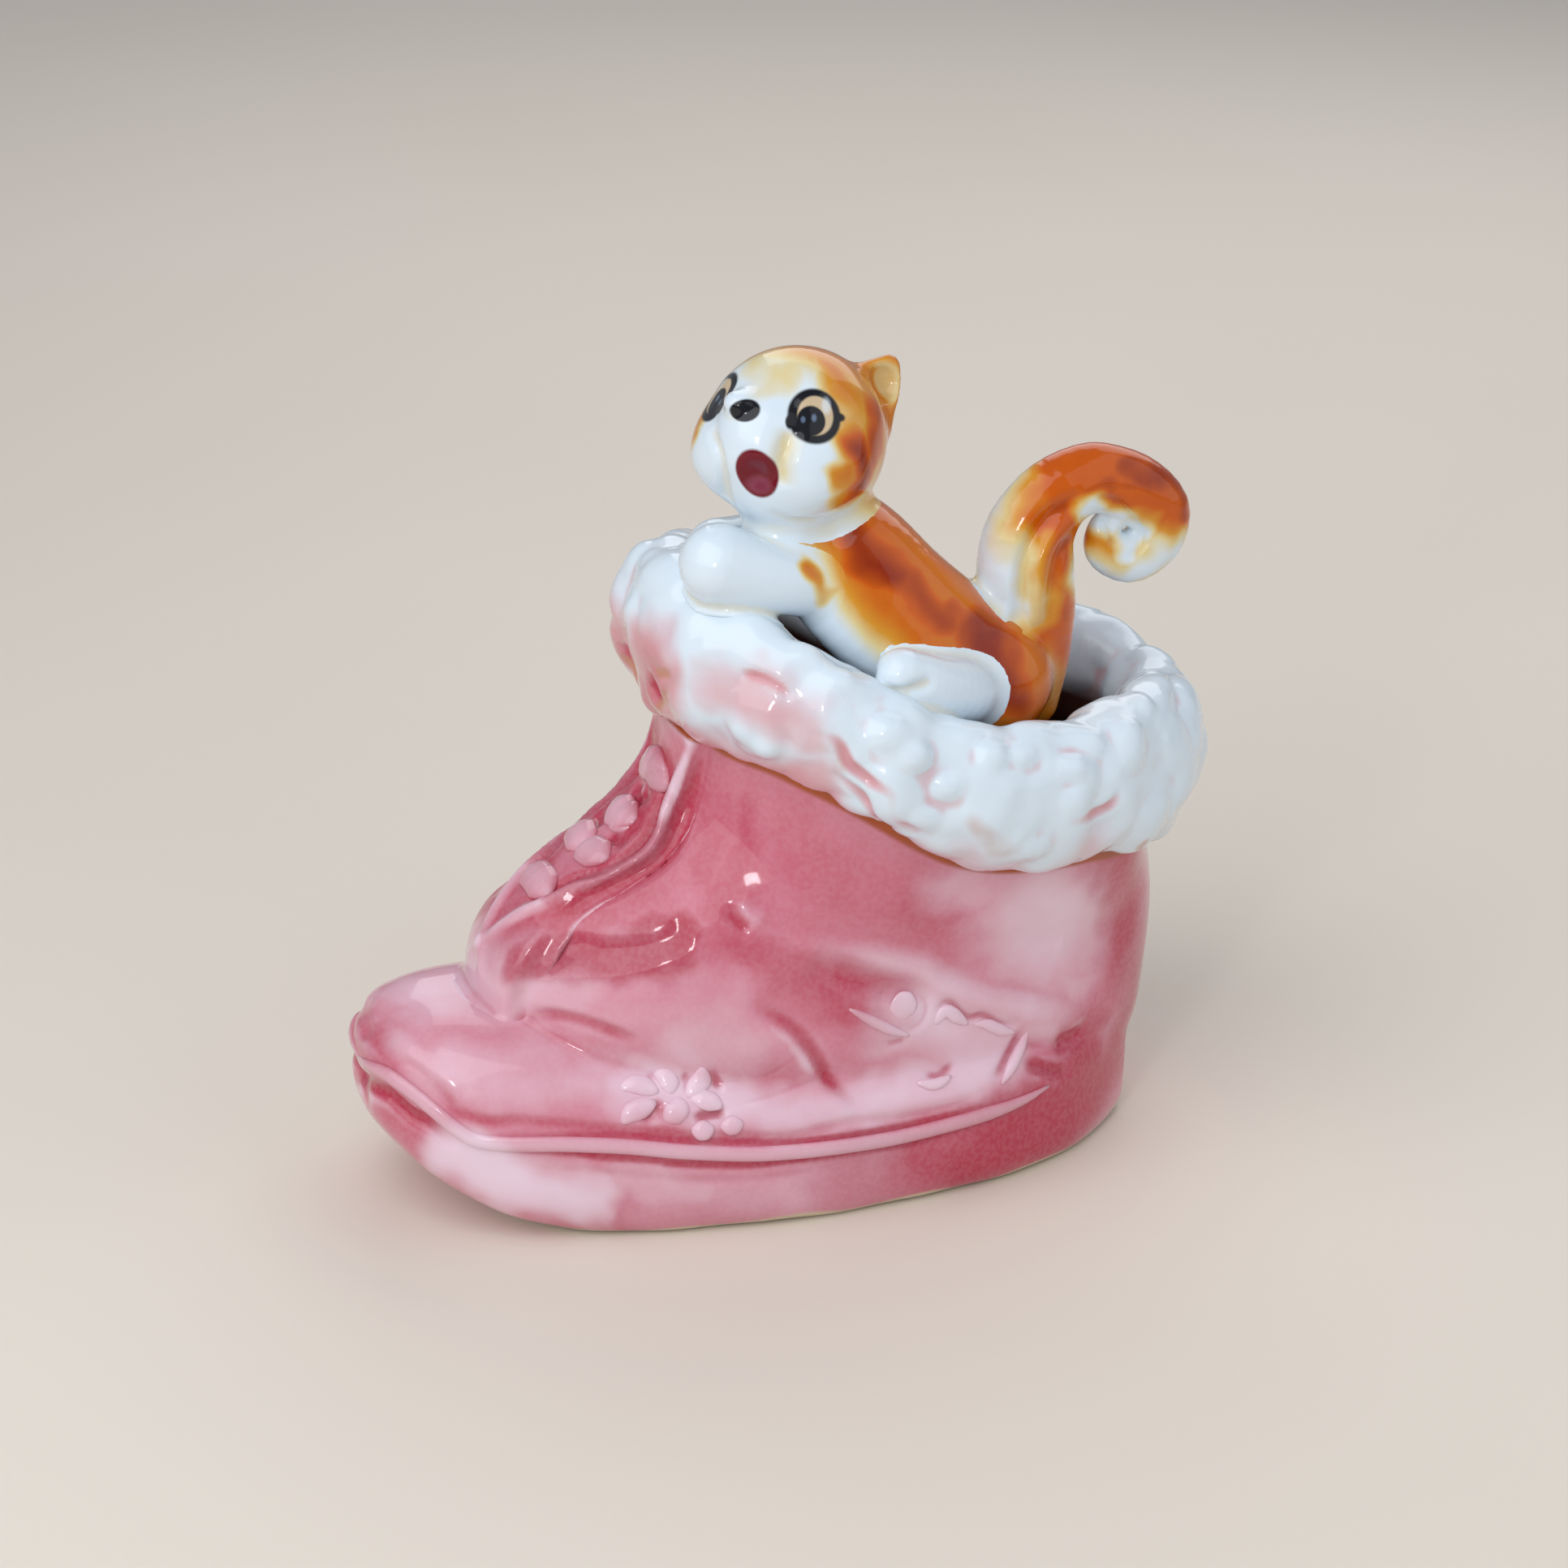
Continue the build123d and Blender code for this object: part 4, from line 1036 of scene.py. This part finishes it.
TAIL_LINE = ((9.5, 28.9, 57.5, 3.3), (9.5, 29.3, 62.9, 4.0), (9.5, 28.9, 68.7, 5.0), (9.5, 27.6, 74.1, 6.0),
             (9.5, 28.0, 79.0, 5.5), (9.5, 31.0, 83.2, 4.7), (9.5, 35.8, 84.9, 4.3), (9.5, 40.8, 83.2, 4.3),
             (9.5, 44.4, 80.0, 4.0), (9.5, 44.2, 76.2, 3.6), (9.5, 41.0, 74.4, 3.3), (9.6, 37.9, 75.9, 2.7),
             (9.7, 37.6, 78.6, 2.0), (9.7, 39.3, 79.8, 1.5))
tail_field = chain(room, TAIL_LINE, 4, 0.85)
seat = smooth_min(both, cuff_room_field, 0.5)
fields.update({
    "squirrel_torso": (torso_field, cuff_room_field, 1.0),
    "near_arm": (near_arm_field, smooth_min(both, cuff_room_field, 0.5), 1.1),
    "far_arm": (far_arm_field, seat, 1.8),
    "near_hind_leg": (near_leg_field, smooth_min(torso_field, cuff_room_field, 0.5), 1.0),
    "far_hind_leg": (far_leg_field, smooth_min(torso_field, cuff_room_field, 0.5), 1.0),
    "squirrel_tail": (tail_field, np.minimum(np.minimum(torso_field, near_leg_field), cuff_room_field), 1.6),
})
body = {name: skin_of(room, luted(own, base, blend), 2) for name, (own, base, blend) in fields.items()}
figure = tree_of(*body.values())

HEAD_STROKES = (
    (1.5, -0.7, {}, ((878, 528), (886, 560), (892, 596), (896, 616))),
    (1.6, -0.75, {"warm": 0.12}, ((974, 530), (968, 552), (962, 574), (964, 600))),
    (2.6, -0.8, {}, ((931, 584), (933, 588))),
    (1.2, -0.35, {}, ((948, 628), (975, 640), (1010, 640))),
)
TAIL_STROKES = (
    (1.7, -1.0, {}, ((1256, 778), (1258, 740), (1260, 708), (1266, 681), (1281, 651), (1303, 628), (1333, 612))),
    (1.6, 0.6, {}, ((1276, 770), (1279, 712), (1287, 678), (1304, 655), (1330, 636))),
    (1.3, -0.6, {}, ((1292, 770), (1298, 725), (1304, 690), (1316, 662))),
    (0.9, -0.7, {"warm": 0.8}, ((1357, 635), (1366, 652), (1376, 673))),
    (1.0, -0.6, {"warm": 0.6}, ((1352, 612), (1378, 622), (1398, 646), (1404, 672), (1392, 690))),
)
FOOT_STROKES = ((1.3, -0.9, {}, ((1080, 852), (1104, 853), (1130, 848), (1150, 838))),)
FACE_WASHES = (
    (3.6, {"warm": 0.95}, ((1058, 550), (1072, 575), (1062, 600))),
    (3.0, {"warm": 0.85}, ((1078, 505), (1080, 545))),
    (2.8, {"warm": 0.62}, ((1030, 455), (1052, 490), (1052, 520))),
    (1.8, {"warm": 0.45}, ((930, 440), (985, 427), (1035, 440))),
    (1.6, {"warm": 0.6}, ((1032, 575), (1050, 600))),
    (2.2, {"warm": 0.2}, ((948, 470), (975, 455))),
)
TORSO_WASHES = (
    (4.6, {"warm": 0.97}, ((1060, 655), (1078, 680), (1100, 705))),
    (4.0, {"warm": 0.9}, ((1100, 700), (1140, 735), (1165, 765))),
    (5.0, {"warm": 1.0}, ((1205, 775), (1230, 815), (1250, 850))),
    (3.6, {"warm": 0.85}, ((1170, 745), (1200, 765))),
    (1.5, {"warm": 0.66}, ((985, 690), (1010, 702), (1028, 722))),
)
TAIL_WASHES = (
    (5.0, {"cool": 0.8}, ((1222, 610), (1212, 650), (1222, 700), (1240, 745))),
    (3.0, {"cool": 0.8}, ((1335, 700), (1370, 712), (1410, 704), (1440, 690))),
    (2.3, {"cool": 0.85}, ((1345, 628), (1362, 642), (1382, 660), (1384, 690))),
    (3.4, {"warm": 0.95}, ((1400, 575), (1440, 605), (1455, 645))),
    (3.0, {"warm": 0.85}, ((1300, 640), (1345, 600), (1400, 600))),
    (2.6, {"warm": 0.82}, ((1318, 660), (1312, 720), (1308, 780))),
    (4.0, {"cool": 0.35}, ((1290, 850), (1310, 870))),
    (1.2, {"cool": 0.25}, ((1268, 760), (1270, 700), (1284, 665))),
)


def ease(values, low, high):
    t = np.clip((values - low) / (high - low), 0, 1)
    return t * t * (3 - 2 * t)


def head_warmth(points):
    way = points - HEAD
    way = way / np.linalg.norm(way, axis=1).clip(1e-6)[:, None]
    forward = way @ FACE - 0.3 - 0.42 * np.maximum(0, way[:, 2] - 0.5)
    return 0.58 * ease(-forward, -0.08, 0.75) * ease(way[:, 2], -0.95, -0.35)


def torso_warmth(points):
    above = (points - TORSO_LINE[0, :3]) @ BACK_WAY
    middle = np.interp(points[:, 1], TORSO_LINE[:, 1], TORSO_LINE[:, 0])
    above = above + 0.32 * np.abs(points[:, 0] - middle)
    return 0.66 * ease(above, -3.0, 3.0)


seen = {name: tree_of(skin) for name, skin in body.items()}
for name, skin in body.items():
    skin.marks = {mark: np.zeros(len(skin.points)) for mark in ("warm", "cool", "inside")}
work(body["squirrel_head"], seen["squirrel_head"], HEAD_STROKES, False)
work(body["squirrel_tail"], seen["squirrel_tail"], TAIL_STROKES, False)
work(body["near_hind_leg"], seen["near_hind_leg"], FOOT_STROKES, False)
for name, skin in body.items():
    clay_bumps(skin, 0.12, 5.0, 6)
    if name == "squirrel_head":
        skin.mark("warm", head_warmth(skin.points))
        wash(skin, seen[name], FACE_WASHES, True, over_face)
    elif name in ("near_ear", "far_ear"):
        skin.mark("warm", np.full(len(skin.points), 0.6))
        facing = near_ear_facing if name == "near_ear" else far_ear_facing
        corners = near_ear_corners if name == "near_ear" else far_ear_corners
        middle = np.mean(corners, 0)
        reach = np.linalg.norm(skin.points - middle, axis=1)
        inner = ease(-reach, -3.6, -2.2) * ease(skin.normals() @ facing, 0.1, 0.6)
        skin.mark("cool", 0.36 * inner)
    elif name == "squirrel_tail":
        skin.mark("warm", np.full(len(skin.points), 0.74))
        wash(skin, seen[name], TAIL_WASHES, False)
    else:
        skin.mark("warm", torso_warmth(skin.points) * (1.0 if name == "squirrel_torso" else 0.0))
        if name == "squirrel_torso":
            wash(skin, figure, TORSO_WASHES, False)
        elif name in ("near_arm", "far_arm"):
            skin.mark("warm", ease(skin.points[:, 1], -1.0, 3.5) * torso_warmth(skin.points))
            wash(skin, figure, TORSO_WASHES[4:5], False)
    # Painted shade: the warm colour is deepened a little in the hollows; the cool mark then lightens it
    bend = skin.hollows(3) * 100
    skin.marks["warm"] = np.clip(skin.marks["warm"] + np.clip(bend * 0.06, 0, 0.07)
                                 - skin.marks["cool"], 0, 1)


EYE_CREAM = colour(206, 184, 150)


def face_glaze(name):
    """The head's glaze with the painted eyes, nose and mouth."""
    p = Paint(name)
    shade = warm_shade(p)
    tree = seen["squirrel_head"]

    def frame_at(across, down):
        place, normal = cast(tree, across, down)
        side = unit(RIGHT - normal * (RIGHT @ normal))
        return place, side, np.cross(normal, side), normal

    def spots(shade, across, down, half, paint, soft=0.1, turn=0.0, both=False, deep=3.5, amount=1.0):
        place, side, rise, normal = frame_at(across, down)
        half = (half[0] / max(0.35, abs(side @ RIGHT)), half[1] / max(0.35, abs(rise @ UP)))
        turned = (side * math.cos(turn) + rise * math.sin(turn), rise * math.cos(turn) - side * math.sin(turn))
        sets = [(place, *turned)]
        if both:
            flip = [over_face(v + HEAD) - HEAD for v in turned]
            sets.append((over_face(place), *flip))
        for centre, u, v in sets:
            mask = p.spot(centre, u, v, half, soft, deep)
            shade = p.mix(p.math("MULTIPLY", mask, amount), shade, paint)
        return shade

    shade = spots(shade, 1004, 512.5, (3.1, 3.3), BLACK, 0.07, both=True)
    shade = spots(shade, 973, 520, (0.5, 0.8), BLACK, 0.3, both=True)
    shade = spots(shade, 1034, 514, (0.7, 0.5), BLACK, 0.3, both=True)
    shade = spots(shade, 1005, 512, (2.05, 2.3), EYE_CREAM, 0.08, both=True)
    shade = spots(shade, 1018, 500, (0.5, 0.9), WHITE, 0.5, both=True, amount=0.6)
    shade = spots(shade, 999.5, 518.6, (1.65, 1.75), BLACK, 0.08, both=True)
    # Painted highlights: two pale blue-grey glints on each pupil
    shade = spots(shade, 989.5, 517, (0.26, 0.36), colour(90, 108, 132), 0.5, both=True)
    shade = spots(shade, 1003, 515, (0.28, 0.42), colour(96, 114, 138), 0.5, both=True)
    shade = spots(shade, 917.5, 506, (1.8, 1.2), BLACK, 0.1, turn=0.15, deep=3.4)
    shade = spots(shade, 931.8, 585, (2.45, 2.4), RED, 0.07, turn=0.3)
    shade = spots(shade, 934, 599, (1.4, 0.8), PURPLE, 0.4, amount=0.6)
    return p.finish(shade, 0.25, 0.08, 300.0)


fur = squirrel_glaze("squirrel_glaze")
face_paint = face_glaze("squirrel_face_glaze")
for name, skin in body.items():
    piece(name + "_shape", skin, face_paint if name == "squirrel_head" else fur, "squirrel_glaze", name)


# Floor, light and camera

def lamp(name, place, target, width, height, power, tint):
    data = bpy.data.lights.new(name, "AREA")
    data.shape = "RECTANGLE"
    data.size, data.size_y = width * MM, height * MM
    data.energy = power
    data.color = tint
    obj = bpy.data.objects.new(name, data)
    obj.location = Vector(place) * MM
    obj.rotation_mode = "QUATERNION"
    obj.rotation_quaternion = (Vector(target) - Vector(place)).to_track_quat("-Z", "Y")
    bpy.context.scene.collection.objects.link(obj)


floor_size = 4000.0
half = floor_size * MM / 2
floor_mesh = bpy.data.meshes.new("floor")
floor_mesh.from_pydata([(-half, -half, 0), (half, -half, 0), (half, half, 0), (-half, half, 0)], [],
                       [(0, 1, 2, 3)])
floor_paint = Paint("floor_paint")
floor_shade = floor_paint.mix(floor_paint.noise(6.0, 2.0), colour(226, 216, 202), colour(232, 224, 212))
floor_mesh.materials.append(floor_paint.finish(floor_shade, 0.55, coat=0.0))
floor = bpy.data.objects.new("floor", floor_mesh)
bpy.context.scene.collection.objects.link(floor)

world = bpy.data.worlds.new("studio")
bpy.context.scene.world = world
world.use_nodes = True
world.node_tree.nodes["Background"].inputs["Color"].default_value = (0.88, 0.92, 1.0, 1.0)
world.node_tree.nodes["Background"].inputs["Strength"].default_value = 0.3

middle = np.array((0.0, 0.0, 45.0))
side = RIGHT
front = unit((BACK[0], BACK[1], 0.0))
above = np.array((0.0, 0.0, 1.0))
lamp("key", middle - side * 260 + front * 300 + above * 380, middle, 620, 620, 2.2, (0.98, 0.98, 1.0))
lamp("window", middle - side * 120 + front * 420 + above * 190, middle, 50, 70, 0.25, (0.95, 0.97, 1.0))
lamp("fill", middle + side * 420 + front * 160 + above * 260, middle, 620, 620, 0.8, (0.94, 0.96, 1.0))
lamp("back", middle + side * 120 - front * 420 + above * 360, middle, 620, 420, 1.1, (0.97, 0.98, 1.0))

camera_data = bpy.data.cameras.new("camera")
camera_data.lens = LENS
camera_data.sensor_width = SENSOR
camera_data.clip_start = 0.01
camera_data.clip_end = 20.0
camera = bpy.data.objects.new("camera", camera_data)
camera.location = Vector(EYE) * MM
camera.rotation_mode = "QUATERNION"
camera.rotation_quaternion = Vector(-BACK).to_track_quat("-Z", "Y")
bpy.context.scene.collection.objects.link(camera)
bpy.context.scene.camera = camera

bpy.context.scene.view_settings.view_transform = "Standard"
